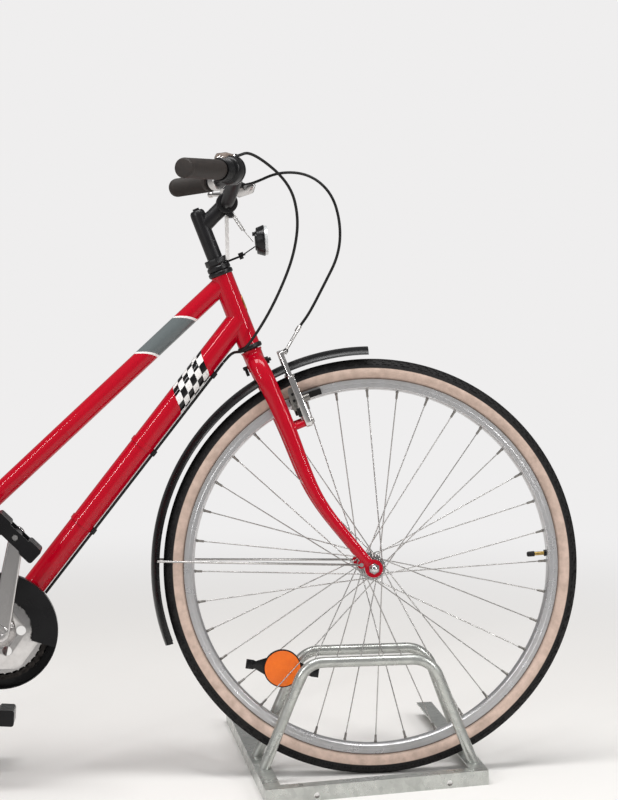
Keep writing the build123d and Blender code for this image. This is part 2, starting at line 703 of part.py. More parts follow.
# Rear triangle
def dropout_outline(side):
    """A rear fork end: a plate round the axle that reaches the chain stay and the seat stay."""
    near_face = DROPOUT_Y + DROPOUT_THICKNESS if side > 0 else -DROPOUT_Y
    with BuildSketch(side_plane(near_face)) as outline:
        with Locations((REAR_HUB.X, REAR_HUB.Z)):
            Circle(DROPOUT_R)
        with Locations((REAR_HUB.X + 26.0, REAR_HUB.Z - 5.0)):
            Circle(STAY_R)
        with Locations((REAR_HUB.X + 12.0, REAR_HUB.Z + 24.0)):
            Circle(SEAT_STAY_R)
        make_hull()
    return outline.sketch


def chain_stay_points(side):
    """Shell, bend and fork end of a chain stay."""
    return [
        BB + Vector(-8.0, side * 22.0, 1.5),
        Vector(STAY_BEND_X, side * STAY_BEND_Y, BB.Z + 23.0),
        REAR_HUB + Vector(24.0, side * (DROPOUT_Y + DROPOUT_THICKNESS / 2), -5.0),
    ]


def seat_stay_points(side):
    """Seat tube, bend and fork end of a seat stay."""
    high = seat_point(SEAT_STAY_T)
    low = REAR_HUB + Vector(12.0, side * (DROPOUT_Y + DROPOUT_THICKNESS / 2), 24.0)
    bend = high + (low - high) * 0.16
    return [high + LEFT * side * (SEAT_TUBE_R + SEAT_STAY_R - 3.0), Vector(bend.X, side * 38.0, bend.Z), low]


with BuildPart() as chain_stays:
    for side in (1, -1):
        bent_bar(chain_stay_points(side), 60.0, STAY_R)
        extrude(dropout_outline(side), amount=DROPOUT_THICKNESS)
    round_bar(shell_left, shell_right, BB_SHELL_R, mode=Mode.SUBTRACT)
    axle_reach = LEFT * 90
    round_bar(REAR_HUB - axle_reach, REAR_HUB + axle_reach, REAR_AXLE_R + RUNNING_GAP, mode=Mode.SUBTRACT)

with BuildPart() as seat_stays:
    for side in (1, -1):
        bent_bar(seat_stay_points(side), 60.0, SEAT_STAY_R)
        extrude(dropout_outline(side), amount=DROPOUT_THICKNESS, mode=Mode.SUBTRACT)
    round_bar(BB, seat_high, SEAT_TUBE_R, mode=Mode.SUBTRACT)
    round_bar(collar_foot, seat_high, SEAT_COLLAR_R, mode=Mode.SUBTRACT)

# Stem, handlebar, grips, shifter and brake lever
bar_middle = Vector(BAR_X, 0, BAR_Z)
with BuildPart() as stem:
    round_bar(steer_point(locknut_s + LOCKNUT_HEIGHT + SEAT_GAP), steer_point(QUILL_TOP_S), QUILL_SLEEVE_R)
    round_bar(steer_point(HEAD_LOW_S + 40), steer_point(locknut_s + LOCKNUT_HEIGHT + 2), QUILL_R)
    round_bar(steer_point(EXTENSION_S), bar_middle, EXTENSION_R)
    half_clamp = LEFT * BAR_CLAMP_WIDTH / 2
    round_bar(bar_middle - half_clamp, bar_middle + half_clamp, BAR_CLAMP_R)
    fillet(stem.edges().filter_by(GeomType.CIRCLE).sort_by(Axis.Z)[-1], 3.0)
    round_bar(bar_middle - LEFT * 60, bar_middle + LEFT * 60, BAR_R + RUNNING_GAP, mode=Mode.SUBTRACT)


def bar_route(side):
    """The centre line of one half of the handlebar, from the clamp to its end."""
    knee = Vector(BAR_X, side * BAR_FLAT, BAR_Z)
    shoulder = knee + Vector(BAR_RISE_X, side * BAR_RISE_Y, BAR_RISE)
    end = shoulder + Vector(BAR_SWEEP_X, side * BAR_SWEEP_Y, BAR_SWEEP_Z)
    return [knee, shoulder, end]


with BuildPart() as handlebar:
    right = bar_route(-1)
    left = bar_route(1)
    bent_bar([right[2], right[1], right[0], left[0], left[1], left[2]], BAR_BEND_R, BAR_R)


def along_grip(side, distance):
    """A point of the handlebar's swept-back part, a distance inward from its end."""
    knee, shoulder, end = bar_route(side)
    return end + (shoulder - end).normalized() * distance


def grip_sleeve(side):
    """A rubber grip that closes over the bar's end."""
    with BuildPart() as grip:
        round_bar(along_grip(side, -4.0), along_grip(side, GRIP_LENGTH), GRIP_R)
        fillet(grip.edges().filter_by(GeomType.CIRCLE), 3.0)
        bore_in = along_grip(side, GRIP_LENGTH + 1)
        round_bar(along_grip(side, 0.0), bore_in, BAR_R + RUNNING_GAP, mode=Mode.SUBTRACT)
    return grip


grip_right = grip_sleeve(-1)
grip_left = grip_sleeve(1)

shifter_out = GRIP_LENGTH + SEAT_GAP
shifter_in = shifter_out + SHIFTER_LENGTH
shifter_axis = (along_grip(-1, shifter_in) - along_grip(-1, shifter_out)).normalized()
shifter_up = (Vector(0, 0, 1) - shifter_axis * shifter_axis.Z).normalized()
outlet = along_grip(-1, shifter_in - 11.0) + shifter_up * 18.0
outlet_run = Vector(0.72, 0.35, 0.28).normalized()
with BuildPart() as twist_shifter:
    round_bar(along_grip(-1, shifter_out), along_grip(-1, shifter_out + 26.0), GRIP_R + 3.0)
    round_bar(along_grip(-1, shifter_out + 26.0), along_grip(-1, shifter_in), SHIFTER_R)
    chamfer(twist_shifter.edges().filter_by(GeomType.CIRCLE).group_by(SortBy.RADIUS)[-1], 3.0)
    round_bar(outlet - outlet_run * 14.0, outlet + outlet_run * 15.0, 5.0)
    bore_out = along_grip(-1, shifter_out - 1)
    round_bar(bore_out, along_grip(-1, shifter_in + 1), BAR_R + RUNNING_GAP, mode=Mode.SUBTRACT)

lever_axis = (along_grip(1, 200.0) - along_grip(1, 0.0)).normalized()
perch = along_grip(1, GRIP_LENGTH + 22.0)
lever_front = Vector(1, 0, -0.25)
lever_front = (lever_front - lever_axis * lever_front.dot(lever_axis)).normalized()
with BuildPart() as brake_lever:
    round_bar(perch - lever_axis * 10, perch + lever_axis * 10, BAR_R + 5.0)
    round_bar(perch, perch + lever_front * 34.0, 8.0)
    pivot = perch + lever_front * 32.0
    round_bar(pivot - lever_axis * 16.0, pivot + lever_axis * 20.0, 7.0)
    round_bar(pivot + lever_axis * 20.0, pivot + lever_axis * 34.0, 4.5)
    blade = [
        pivot,
        pivot - lever_axis * 30.0 + lever_front * 14.0,
        pivot - lever_axis * 78.0 + lever_front * 12.0,
        pivot - lever_axis * 112.0 + lever_front * 20.0,
    ]
    bent_bar(blade, 16.0, 5.0)
    round_bar(perch - lever_axis * 12, perch + lever_axis * 12, BAR_R + RUNNING_GAP, mode=Mode.SUBTRACT)

# Front rim brake: an arm and a pad each side, the noodle and its cable
PAD_S = 307.0
PAD_N = 57.0
PAD_CLEARANCE = 2.0
PAD_R = 308.0
PAD_LENGTH = 56.0
PAD_HEIGHT = 10.0
PAD_DEPTH = 9.0
SHOE_ANGLE = 180.0 - HEAD_ANGLE
ARM_THICKNESS = 11.0
ARM_TOP_THICKNESS = 7.0
ARM_STEP_S = 345.0
CLAMP_PLATE = 3.0
ARM_BOSS_R = 8.5
ARM_STEP_R = 7.0
ARM_TOP_R = 4.5
SPRING_BOX_WIDE = 11.0
SPRING_BOX_DEEP = 9.0
SPRING_BOX_HIGH = 16.0
SHOE_POST_R = 3.5
SHOE_SEAT_R = 6.0
ARM_TOP_S = 390.0
ARM_TOP_LEFT = 31.0


def brake_arm(side):
    """A linear-pull arm on its boss, with its shoe, the shoe's slotted clamp and the spring's box."""
    arm_plane = Plane(origin=steer_point(0, BOSS_N + SEAT_GAP, 0), x_dir=LEFT, z_dir=STEER_FORWARD)
    with BuildPart() as arm:
        with BuildSketch(arm_plane) as lower:
            with Locations((side * BOSS_LEFT, BOSS_S)):
                Circle(ARM_BOSS_R)
            with Locations((side * (BOSS_LEFT + 1.0), ARM_STEP_S)):
                Circle(ARM_STEP_R)
            make_hull()
        extrude(lower.sketch, amount=ARM_THICKNESS)
        with BuildSketch(arm_plane.offset(2.0)) as upper:
            with Locations((side * (BOSS_LEFT + 1.0), ARM_STEP_S)):
                Circle(ARM_STEP_R - 0.5)
            with Locations((side * ARM_TOP_LEFT, ARM_TOP_S)):
                Circle(ARM_TOP_R)
            make_hull()
        extrude(upper.sketch, amount=ARM_TOP_THICKNESS)
        with BuildSketch(side_plane(side * BOSS_LEFT + (CLAMP_PLATE if side > 0 else 0))) as clamp_plate:
            with Locations(*[(place.X, place.Z) for place in (steer_point(298, 33), steer_point(326, 36))]):
                Circle(6.0)
            make_hull()
        extrude(clamp_plate.sketch, amount=CLAMP_PLATE)
        round_bar(
            steer_point(300, 34, side * (BOSS_LEFT - 4.0)),
            steer_point(300, 34, side * (BOSS_LEFT + CLAMP_PLATE + 3.0)),
            4.2,
        )
        box_middle = steer_point(BOSS_S + 12.0, BOSS_N - 1.0, side * (BOSS_LEFT + 1.0))
        with BuildSketch(Plane(origin=box_middle, x_dir=LEFT, z_dir=STEER_UP)) as spring_box:
            RectangleRounded(SPRING_BOX_WIDE, SPRING_BOX_DEEP, 1.5)
        extrude(spring_box.sketch, amount=SPRING_BOX_HIGH)
        post_foot = steer_point(PAD_S, PAD_N, side * (BOSS_LEFT + 3.0))
        shoe_back = side * (RIM_HALF + PAD_CLEARANCE + PAD_DEPTH)
        round_bar(post_foot, steer_point(PAD_S, PAD_N, shoe_back - side * 4.0), SHOE_POST_R)
        post_arm = steer_point(PAD_S, BOSS_N + ARM_THICKNESS - 2, side * (BOSS_LEFT + 1.0))
        round_bar(post_arm, steer_point(PAD_S, PAD_N + 4, side * (BOSS_LEFT + 1.0)), SHOE_SEAT_R)
        half_shoe = degrees(PAD_LENGTH / 2 / PAD_R)
        near_y, far_y = sorted((side * (RIM_HALF + PAD_CLEARANCE), shoe_back))
        with BuildSketch(hub_plane(FRONT_HUB, SHOE_ANGLE - half_shoe)) as shoe:
            with Locations((PAD_R, (near_y + far_y) / 2)):
                Rectangle(PAD_HEIGHT, PAD_DEPTH)
        revolve(shoe.sketch, axis=hub_axis(FRONT_HUB), revolution_arc=2 * half_shoe)
    return arm


brake_arm_right = brake_arm(-1)
brake_arm_left = brake_arm(1)

noodle_points = [
    steer_point(ARM_TOP_S, BOSS_N + 17, ARM_TOP_LEFT - 1.0),
    steer_point(ARM_TOP_S + 2, BOSS_N + 17, ARM_TOP_LEFT + 24.0),
    steer_point(ARM_TOP_S + 30, 95.0, ARM_TOP_LEFT + 22.0),
]
with BuildPart() as brake_noodle:
    bent_bar(noodle_points, 18.0, 2.6)

noodle_run = (noodle_points[2] - noodle_points[1]).normalized()
housing = [
    noodle_points[2] + noodle_run * SEAT_GAP,
    noodle_points[2] + noodle_run * 26.0 + STEER_FORWARD * 2.0,
    steer_point(470.0, 158.0, 50.0),
    steer_point(508.0, 200.0, 46.0),
    steer_point(555.0, 222.0, 44.0),
    steer_point(610.0, 228.0, 48.0),
    steer_point(655.0, 205.0, 60.0),
    steer_point(678.0, 160.0, 82.0),
    pivot + lever_axis * 62.0 + Vector(3.0, 0, 1.0),
    pivot + lever_axis * (34.0 + SEAT_GAP),
]


def cable_bends(points):
    """The largest arc for each corner that its two runs leave room for."""
    bends = []
    for before, corner, after in zip(points, points[1:], points[2:]):
        turn = radians((corner - before).get_angle(after - corner))
        shorter = min((corner - before).length, (after - corner).length)
        bends.append(0.45 * shorter / (sin(turn / 2) / cos(turn / 2)))
    return bends


CABLE_R = 2.4


def cable_tube(points, name):
    """A cable's outer tube along its runs and arcs."""
    bends = cable_bends(points)
    with BuildPart() as tube:
        bent_bar(points, bends, CABLE_R)
    route = FilletPolyline(*points, radius=bends, mode=Mode.PRIVATE)
    share = tube.part.volume / (pi * CABLE_R**2 * route.length)
    print(name, [round(bend) for bend in bends], "length", round(route.length), "share", round(share, 4))
    return tube


brake_cable = cable_tube(housing, "brake_cable")

# Gear cable: a free loop from the shifter to the first clip, and the run under the down tube
down_run = (BB - down_start).normalized()
under = down_run.cross(LEFT).normalized()
if under.Z > 0:
    under = under * -1
cable_drop = DOWN_TUBE_R + CABLE_R + SEAT_GAP
clip_places = [95.0, 260.0, 425.0]
loop_end = down_start + down_run * (clip_places[0] - 22.0) + under * cable_drop - LEFT * 7.0
loop = [
    outlet + outlet_run * (15.0 + 2 * SEAT_GAP),
    outlet + outlet_run * 44.0 + Vector(0, 0, -1.0),
    Vector(-128.0, -100.0, 995.0),
    Vector(-112.0, -76.0, 938.0),
    Vector(-120.0, -56.0, 878.0),
    Vector(-143.0, -44.0, 820.0),
    Vector(-172.0, -38.0, 766.0),
    Vector(-208.0, -31.0, 716.0),
    loop_end - down_run * 24.0 + under * 1.5,
    loop_end,
]
gear_cable_loop = cable_tube(loop, "gear_cable_loop")
run_end = down_start + down_run * 560.0 + under * cable_drop - LEFT * 7.0
with BuildPart() as gear_cable_run:
    round_bar(loop_end + down_run * 2 * SEAT_GAP, run_end, CABLE_R)
with BuildPart() as cable_clips:
    for place in clip_places:
        clip_start = down_start + down_run * place
        round_bar(clip_start, clip_start + down_run * 9.0, DOWN_TUBE_R + 1.6)
        round_bar(
            clip_start + under * cable_drop - LEFT * 7.0,
            clip_start + under * cable_drop - LEFT * 7.0 + down_run * 9.0,
            CABLE_R + 1.8,
        )
    round_bar(down_start, BB, DOWN_TUBE_R + RUNNING_GAP, mode=Mode.SUBTRACT)
    lane = under * cable_drop - LEFT * 7.0
    round_bar(down_start + lane, BB + lane, CABLE_R + RUNNING_GAP, mode=Mode.SUBTRACT)


# Mudguards
def mudguard(hub, start_angle, end_angle):
    """A rolled mudguard blade over part of a wheel."""
    edge_r = MUDGUARD_R - MUDGUARD_DEPTH
    with BuildPart() as guard:
        with BuildSketch(hub_plane(hub, start_angle)):
            with BuildLine():
                ThreePointArc((edge_r, -MUDGUARD_HALF), (MUDGUARD_R, 0), (edge_r, MUDGUARD_HALF))
                Line((edge_r, MUDGUARD_HALF), (edge_r, MUDGUARD_HALF - MUDGUARD_WALL))
                ThreePointArc(
                    (edge_r, MUDGUARD_HALF - MUDGUARD_WALL),
                    (MUDGUARD_R - MUDGUARD_WALL, 0),
                    (edge_r, MUDGUARD_WALL - MUDGUARD_HALF),
                )
                Line((edge_r, MUDGUARD_WALL - MUDGUARD_HALF), (edge_r, -MUDGUARD_HALF))
            make_face()
        revolve(axis=hub_axis(hub), revolution_arc=end_angle - start_angle)
    return guard


front_mudguard = mudguard(FRONT_HUB, FRONT_GUARD_START, FRONT_GUARD_END)
rear_mudguard = mudguard(REAR_HUB, REAR_GUARD_START, REAR_GUARD_END)


def on_rim(hub, radius, angle, left):
    """A point beside a wheel, by its radius and its angle above forward."""
    return hub + Vector(radius * cos(radians(angle)), left, radius * sin(radians(angle)))


def guard_stays(hub, eyelet, angles):
    """Wire stays from the fork ends to the mudguard's edges."""
    with BuildPart() as stays:
        for side in (1, -1):
            start = hub + Vector(eyelet.X, side * eyelet.Y, eyelet.Z)
            round_bar(start - LEFT * side * STAY_BOLT_IN, start + LEFT * side * STAY_BOLT_OUT, STAY_BOLT_R)
            for angle in angles:
                beside = side * (MUDGUARD_HALF + GUARD_STAY_R + SEAT_GAP)
                end = on_rim(hub, MUDGUARD_R - MUDGUARD_DEPTH + STAY_ABOVE_EDGE, angle, beside)
                round_bar(start, end, GUARD_STAY_R)
    return stays


front_eyelet = EYELET + LEFT * (FORK_END_Y + FORK_END_THICKNESS + STAY_BOLT_IN + SEAT_GAP)
front_mudguard_stays = guard_stays(FRONT_HUB, front_eyelet, [176.8])
rear_eyelet = Vector(-14.5, DROPOUT_Y + DROPOUT_THICKNESS + STAY_BOLT_IN + SEAT_GAP, 3.0)
rear_mudguard_stays = guard_stays(REAR_HUB, rear_eyelet, [150.0, 176.0])

# Front reflector on its strap
REFLECTOR_R = 26.0
REFLECTOR_BACK = 11.5
REFLECTOR_STEP = 2.5
REFLECTOR_LIP = 1.5
REFLECTOR_LENS = 5.0
reflector_middle = Vector(-168.0, 0, 903.0)
reflector_plane = Plane(origin=reflector_middle, x_dir=(0, 1, 0), z_dir=(1, 0, 0.05))
strap_bend = steer_point(strap_s + STRAP_THICKNESS / 2, 42.0)
strap_tip = reflector_middle + Vector(-REFLECTOR_BACK - REFLECTOR_STEP - 0.5, 0, -10.0)
with BuildPart() as reflector_bracket:
    with BuildSketch(steer_plane(strap_s)):
        Circle(CUP_R - 3.0)
        with Locations((30.0, 0)):
            RectangleRounded(40.0, 14.0, 3.0)
        Circle(steerer_bore, mode=Mode.SUBTRACT)
    extrude(amount=STRAP_THICKNESS)
    strap_line = (strap_tip - strap_bend).normalized()
    strap_normal = strap_line.cross(LEFT).normalized()
    with BuildSketch(Plane(origin=strap_bend - strap_line * 2, x_dir=LEFT, z_dir=strap_line)):
        Rectangle(14.0, STRAP_THICKNESS)
    extrude(amount=(strap_tip - strap_bend).length + 2 - SEAT_GAP)
    round_bar(strap_bend - STEER_UP * 5, strap_bend + STEER_UP * 6, 3.5)

with BuildPart() as front_reflector:
    with BuildSketch(reflector_plane.offset(-REFLECTOR_BACK)):
        Circle(REFLECTOR_R - 4)
    with BuildSketch(reflector_plane):
        Circle(REFLECTOR_R)
    loft()
    with BuildSketch(reflector_plane):
        Circle(REFLECTOR_R)
    extrude(amount=REFLECTOR_LIP)
    with BuildSketch(reflector_plane.offset(-REFLECTOR_BACK)):
        Circle(REFLECTOR_R * 0.62)
    extrude(amount=-REFLECTOR_STEP)
    with BuildSketch(reflector_plane.offset(-REFLECTOR_BACK)):
        with Locations((0, 12.0)):
            Circle(3.4)
    extrude(amount=-6.5)

with BuildPart() as front_reflector_lens:
    with BuildSketch(reflector_plane.offset(REFLECTOR_LIP)):
        Circle(REFLECTOR_R - REFLECTOR_LIP)
    extrude(amount=REFLECTOR_LENS)

# Round spoke reflector between the spokes of the front wheel
SPOKE_REFLECTOR_ANGLE = 227.5
SPOKE_REFLECTOR_AT = 228.0
SPOKE_REFLECTOR_R = 30.0
SPOKE_HOLDER_LENGTH = 124.0
SPOKE_HOLDER_WIDTH = 15.0
SPOKE_HOLDER_TURN = -4.0
SPOKE_HOLDER_HALF = 2.0
SPOKE_LENS = 3.2
spoke_reflector_middle = on_rim(FRONT_HUB, SPOKE_REFLECTOR_AT, SPOKE_REFLECTOR_ANGLE, 0)
with BuildPart() as spoke_reflector_holder:
    with BuildSketch(side_plane(SPOKE_HOLDER_HALF)):
        with Locations((spoke_reflector_middle.X, spoke_reflector_middle.Z)):
            Circle(SPOKE_REFLECTOR_R + 1.5)
            Rectangle(SPOKE_HOLDER_LENGTH, SPOKE_HOLDER_WIDTH, rotation=SPOKE_HOLDER_TURN)
    extrude(amount=2 * SPOKE_HOLDER_HALF)
with BuildPart() as spoke_reflector:
    for side in (1, -1):
        near = SPOKE_HOLDER_HALF + SPOKE_LENS if side > 0 else -SPOKE_HOLDER_HALF
        with BuildSketch(side_plane(near)):
            with Locations((spoke_reflector_middle.X, spoke_reflector_middle.Z)):
                Circle(SPOKE_REFLECTOR_R)
        extrude(amount=SPOKE_LENS)

# Cranks, axle, chainring
right_eye = BB + CRANK_UP * CRANK_LENGTH
left_eye = BB - CRANK_UP * CRANK_LENGTH
crank_outer_y = CRANK_INNER_Y + CRANK_THICKNESS
boss_inner_y = -CHAIN_Y + RING_THICKNESS / 2 + SEAT_GAP


def crank_arm(side, eye, inner):
    """A forged arm with its boss on the axle and the pedal's spindle in its eye."""
    with BuildPart() as arm:
        start = side * CRANK_INNER_Y if side < 0 else crank_outer_y
        with BuildSketch(side_plane(start)):
            with Locations((BB.X, BB.Z)):
                Circle(CRANK_BOSS_R)
            with Locations((eye.X, eye.Z)):
                Circle(CRANK_EYE_R)
            make_hull()
        extrude(amount=CRANK_THICKNESS)
        fillet(arm.faces().sort_by(Axis.Y)[0 if side < 0 else -1].edges(), 3.0)
        round_bar(BB + LEFT * side * inner, BB + LEFT * side * (CRANK_INNER_Y + 1), CRANK_BOSS_R - 2)
        reach = BB + LEFT * side * (crank_outer_y - 4)
        round_bar(BB, reach, BB_AXLE_R + RUNNING_GAP, mode=Mode.SUBTRACT)
        cap = BB + LEFT * side * crank_outer_y
        round_bar(cap - LEFT * side, cap + LEFT * side * CRANK_CAP_HEIGHT, CRANK_CAP_R)
        with BuildSketch(Plane(origin=cap + LEFT * side * CRANK_CAP_HEIGHT, z_dir=LEFT * side)):
            RegularPolygon(CRANK_SOCKET_R, 6)
        extrude(amount=-CRANK_CAP_HEIGHT, mode=Mode.SUBTRACT)
        round_bar(
            eye + LEFT * side * (crank_outer_y - 1),
            eye + LEFT * side * (crank_outer_y + PEDAL_GAP + PEDAL_WIDTH - 8),
            SPINDLE_R,
        )
    return arm


right_crank = crank_arm(-1, right_eye, boss_inner_y)
left_crank = crank_arm(1, left_eye, BB_SHELL_WIDTH / 2 + 2 * BB_CUP_WIDTH)

with BuildPart() as bb_axle:
    axle_tip = LEFT * (crank_outer_y - 5)
    round_bar(BB - axle_tip, BB + axle_tip, BB_AXLE_R)

tooth_root_r = RING_PITCH_R - CHAIN_HEIGHT / 2 - 2.5
tooth_tip_r = RING_PITCH_R - CHAIN_HEIGHT / 2 - 0.5
with BuildPart() as chainring:
    with BuildSketch(side_plane(CHAIN_Y + RING_THICKNESS / 2)):
        with Locations((BB.X, BB.Z)):
            Circle(tooth_root_r)
            Circle(DISH_R - DISH_WALL, mode=Mode.SUBTRACT)
            with PolarLocations(tooth_root_r - 1, RING_TEETH):
                Trapezoid(2 * (tooth_tip_r - tooth_root_r) + 2, TOOTH_WIDTH, TOOTH_SLOPE, rotation=-90)
    extrude(amount=RING_THICKNESS)
    ring_out = CHAIN_Y - RING_THICKNESS / 2
    ring_in = CHAIN_Y + RING_THICKNESS / 2
    with BuildSketch(hub_plane(BB)):
        Polygon(
            (BB_AXLE_R + RUNNING_GAP, ring_in),
            (BB_AXLE_R + RUNNING_GAP, ring_out),
            (CRANK_BOSS_R, ring_out),
            (DISH_HOLES_R - DISH_HOLE_R, ring_out - DISH_DEPTH),
            (DISH_HOLES_R + DISH_HOLE_R, ring_out - DISH_DEPTH),
            (DISH_R, ring_out),
            (DISH_R, ring_in),
            (DISH_R - DISH_WALL, ring_in),
            (DISH_HOLES_R + DISH_HOLE_R, ring_out - DISH_DEPTH + DISH_WALL),
            (DISH_HOLES_R - DISH_HOLE_R, ring_out - DISH_DEPTH + DISH_WALL),
            (CRANK_BOSS_R, ring_in),
            align=None,
        )
    revolve(axis=hub_axis(BB))
    with BuildSketch(side_plane(CHAIN_Y + RING_THICKNESS)):
        with Locations((BB.X, BB.Z)):
            with PolarLocations(DISH_HOLES_R, DISH_HOLES):
                Circle(DISH_HOLE_R, mode=Mode.ADD)
    extrude(amount=RING_THICKNESS + 2 * DISH_DEPTH, mode=Mode.SUBTRACT)


def pedal_body(side, eye, tilt):
    """A block pedal: two ribbed tread blocks and the spindle's barrel between two end plates."""
    near = eye + LEFT * side * (crank_outer_y + PEDAL_GAP)
    long_way = Vector(cos(radians(tilt)), 0, -sin(radians(tilt)))
    inner_end = Plane(origin=near, x_dir=long_way, z_dir=LEFT * side)
    block_at = PEDAL_LENGTH / 2 - PEDAL_BLOCK / 2
    with BuildPart() as pedal:
        with BuildSketch(inner_end, inner_end.offset(PEDAL_WIDTH - PEDAL_PLATE)):
            RectangleRounded(PEDAL_LENGTH - PEDAL_PLATE, PEDAL_THICKNESS - PEDAL_PLATE, PEDAL_ROUND)
        extrude(amount=PEDAL_PLATE)
        with BuildSketch(inner_end):
            with Locations((block_at, 0), (-block_at, 0)):
                RectangleRounded(PEDAL_BLOCK, PEDAL_THICKNESS, PEDAL_ROUND)
            Circle(PEDAL_BARREL_R)
        extrude(amount=PEDAL_WIDTH)
        tread_step = (PEDAL_WIDTH - 2 * PEDAL_PLATE) / PEDAL_RIBS
        groove_planes = [
            inner_end.offset(PEDAL_PLATE + tread_step * (index + 0.5) - PEDAL_GROOVE / 2)
            for index in range(PEDAL_RIBS)
        ]
        with BuildSketch(*groove_planes):
            for face in (1, -1):
                with Locations((0, face * PEDAL_THICKNESS / 2)):
                    Rectangle(PEDAL_LENGTH, PEDAL_GROOVE)
        extrude(amount=PEDAL_GROOVE, mode=Mode.SUBTRACT)
        with BuildSketch(inner_end):
            Circle(SPINDLE_R + RUNNING_GAP)
        extrude(amount=PEDAL_WIDTH, mode=Mode.SUBTRACT)
    return pedal


right_pedal = pedal_body(-1, right_eye, PEDAL_TILT)
left_pedal = pedal_body(1, left_eye, LEFT_PEDAL_TILT)

# Chain: one fixed loop of links round chainring and sprocket
chain_rise = REAR_HUB - BB
chain_heading = atan2(chain_rise.Z, chain_rise.X)
run_turn = acos((RING_PITCH_R - SPROCKET_PITCH_R) / chain_rise.length)
run_length = chain_rise.length * sin(run_turn)
ring_arc = 2 * (pi - run_turn) * RING_PITCH_R
sprocket_arc = 2 * run_turn * SPROCKET_PITCH_R
loop_length = 2 * run_length + ring_arc + sprocket_arc
chain_links = 2 * round(loop_length / CHAIN_PITCH / 2)


def round_hub(hub, radius, angle):
    """A point of the side view at a radius and angle round a hub."""
    return Vector(hub.X + radius * cos(angle), hub.Z + radius * sin(angle))


def chain_pin(distance):
    """Where the chain's pitch line is, a distance along it from the top of the chainring."""
    high = chain_heading - run_turn
    low = chain_heading + run_turn
    if distance < ring_arc:
        return round_hub(BB, RING_PITCH_R, high - distance / RING_PITCH_R)
    distance -= ring_arc
    if distance < run_length:
        run = round_hub(REAR_HUB, SPROCKET_PITCH_R, low) - round_hub(BB, RING_PITCH_R, low)
        return round_hub(BB, RING_PITCH_R, low) + run * (distance / run_length)
    distance -= run_length
    if distance < sprocket_arc:
        return round_hub(REAR_HUB, SPROCKET_PITCH_R, low - distance / SPROCKET_PITCH_R)
    distance -= sprocket_arc
    run = round_hub(BB, RING_PITCH_R, high) - round_hub(REAR_HUB, SPROCKET_PITCH_R, high)
    return round_hub(REAR_HUB, SPROCKET_PITCH_R, high) + run * (distance / run_length)


def chain_outline(side):
    """The chain's outer or inner edge: full height at each pin and a waist between two pins."""
    pins = [chain_pin(loop_length * index / chain_links) for index in range(chain_links)]
    corners = []
    for pin, next_pin in zip(pins, pins[1:] + pins[:1]):
        along = (next_pin - pin).normalized()
        out = Vector(-along.Y, along.X) * side
        corners.append(pin + along * CHAIN_PLATE_HALF + out * CHAIN_HEIGHT / 2)
        corners.append((pin + next_pin) / 2 + out * CHAIN_WAIST / 2)
        corners.append(next_pin - along * CHAIN_PLATE_HALF + out * CHAIN_HEIGHT / 2)
    return corners


with BuildPart() as chain:
    with BuildSketch(side_plane(CHAIN_Y + CHAIN_WIDTH / 2)):
        Polygon(*chain_outline(1), align=None)
        Polygon(*chain_outline(-1), align=None, mode=Mode.SUBTRACT)
    extrude(amount=CHAIN_WIDTH)

# Chain guard: a round cover over the chainring that runs back over the chain's upper side. Its
# front is cut away below, where the chain shows before the guard's inner plate.
guard_tail = Vector(-985.0, 0, 389.0)
GUARD_TAIL_R = 17.0
GUARD_SKIRT = 14.0
GUARD_WINDOW = (-100.0, -18.0)
GUARD_INNER = (-120.0, 95.0)
GUARD_INNER_R = 62.0
GUARD_DEPTH = 25.0
FAR = 300.0
run_front = BB + Vector(0, 0, RING_PITCH_R - GUARD_SKIRT)
run_rear = REAR_HUB + Vector(0, 0, SPROCKET_PITCH_R - GUARD_SKIRT)
below = Vector(0, 0, -FAR)


def guard_sector(span):
    """A wedge of the side view from the crank axle outward between two angles."""
    steps = 6
    angles = [radians(span[0] + (span[1] - span[0]) * index / steps) for index in range(steps + 1)]
    Polygon((BB.X, BB.Z), *[round_hub(BB, FAR, angle) for angle in angles], align=None, mode=Mode.INTERSECT)


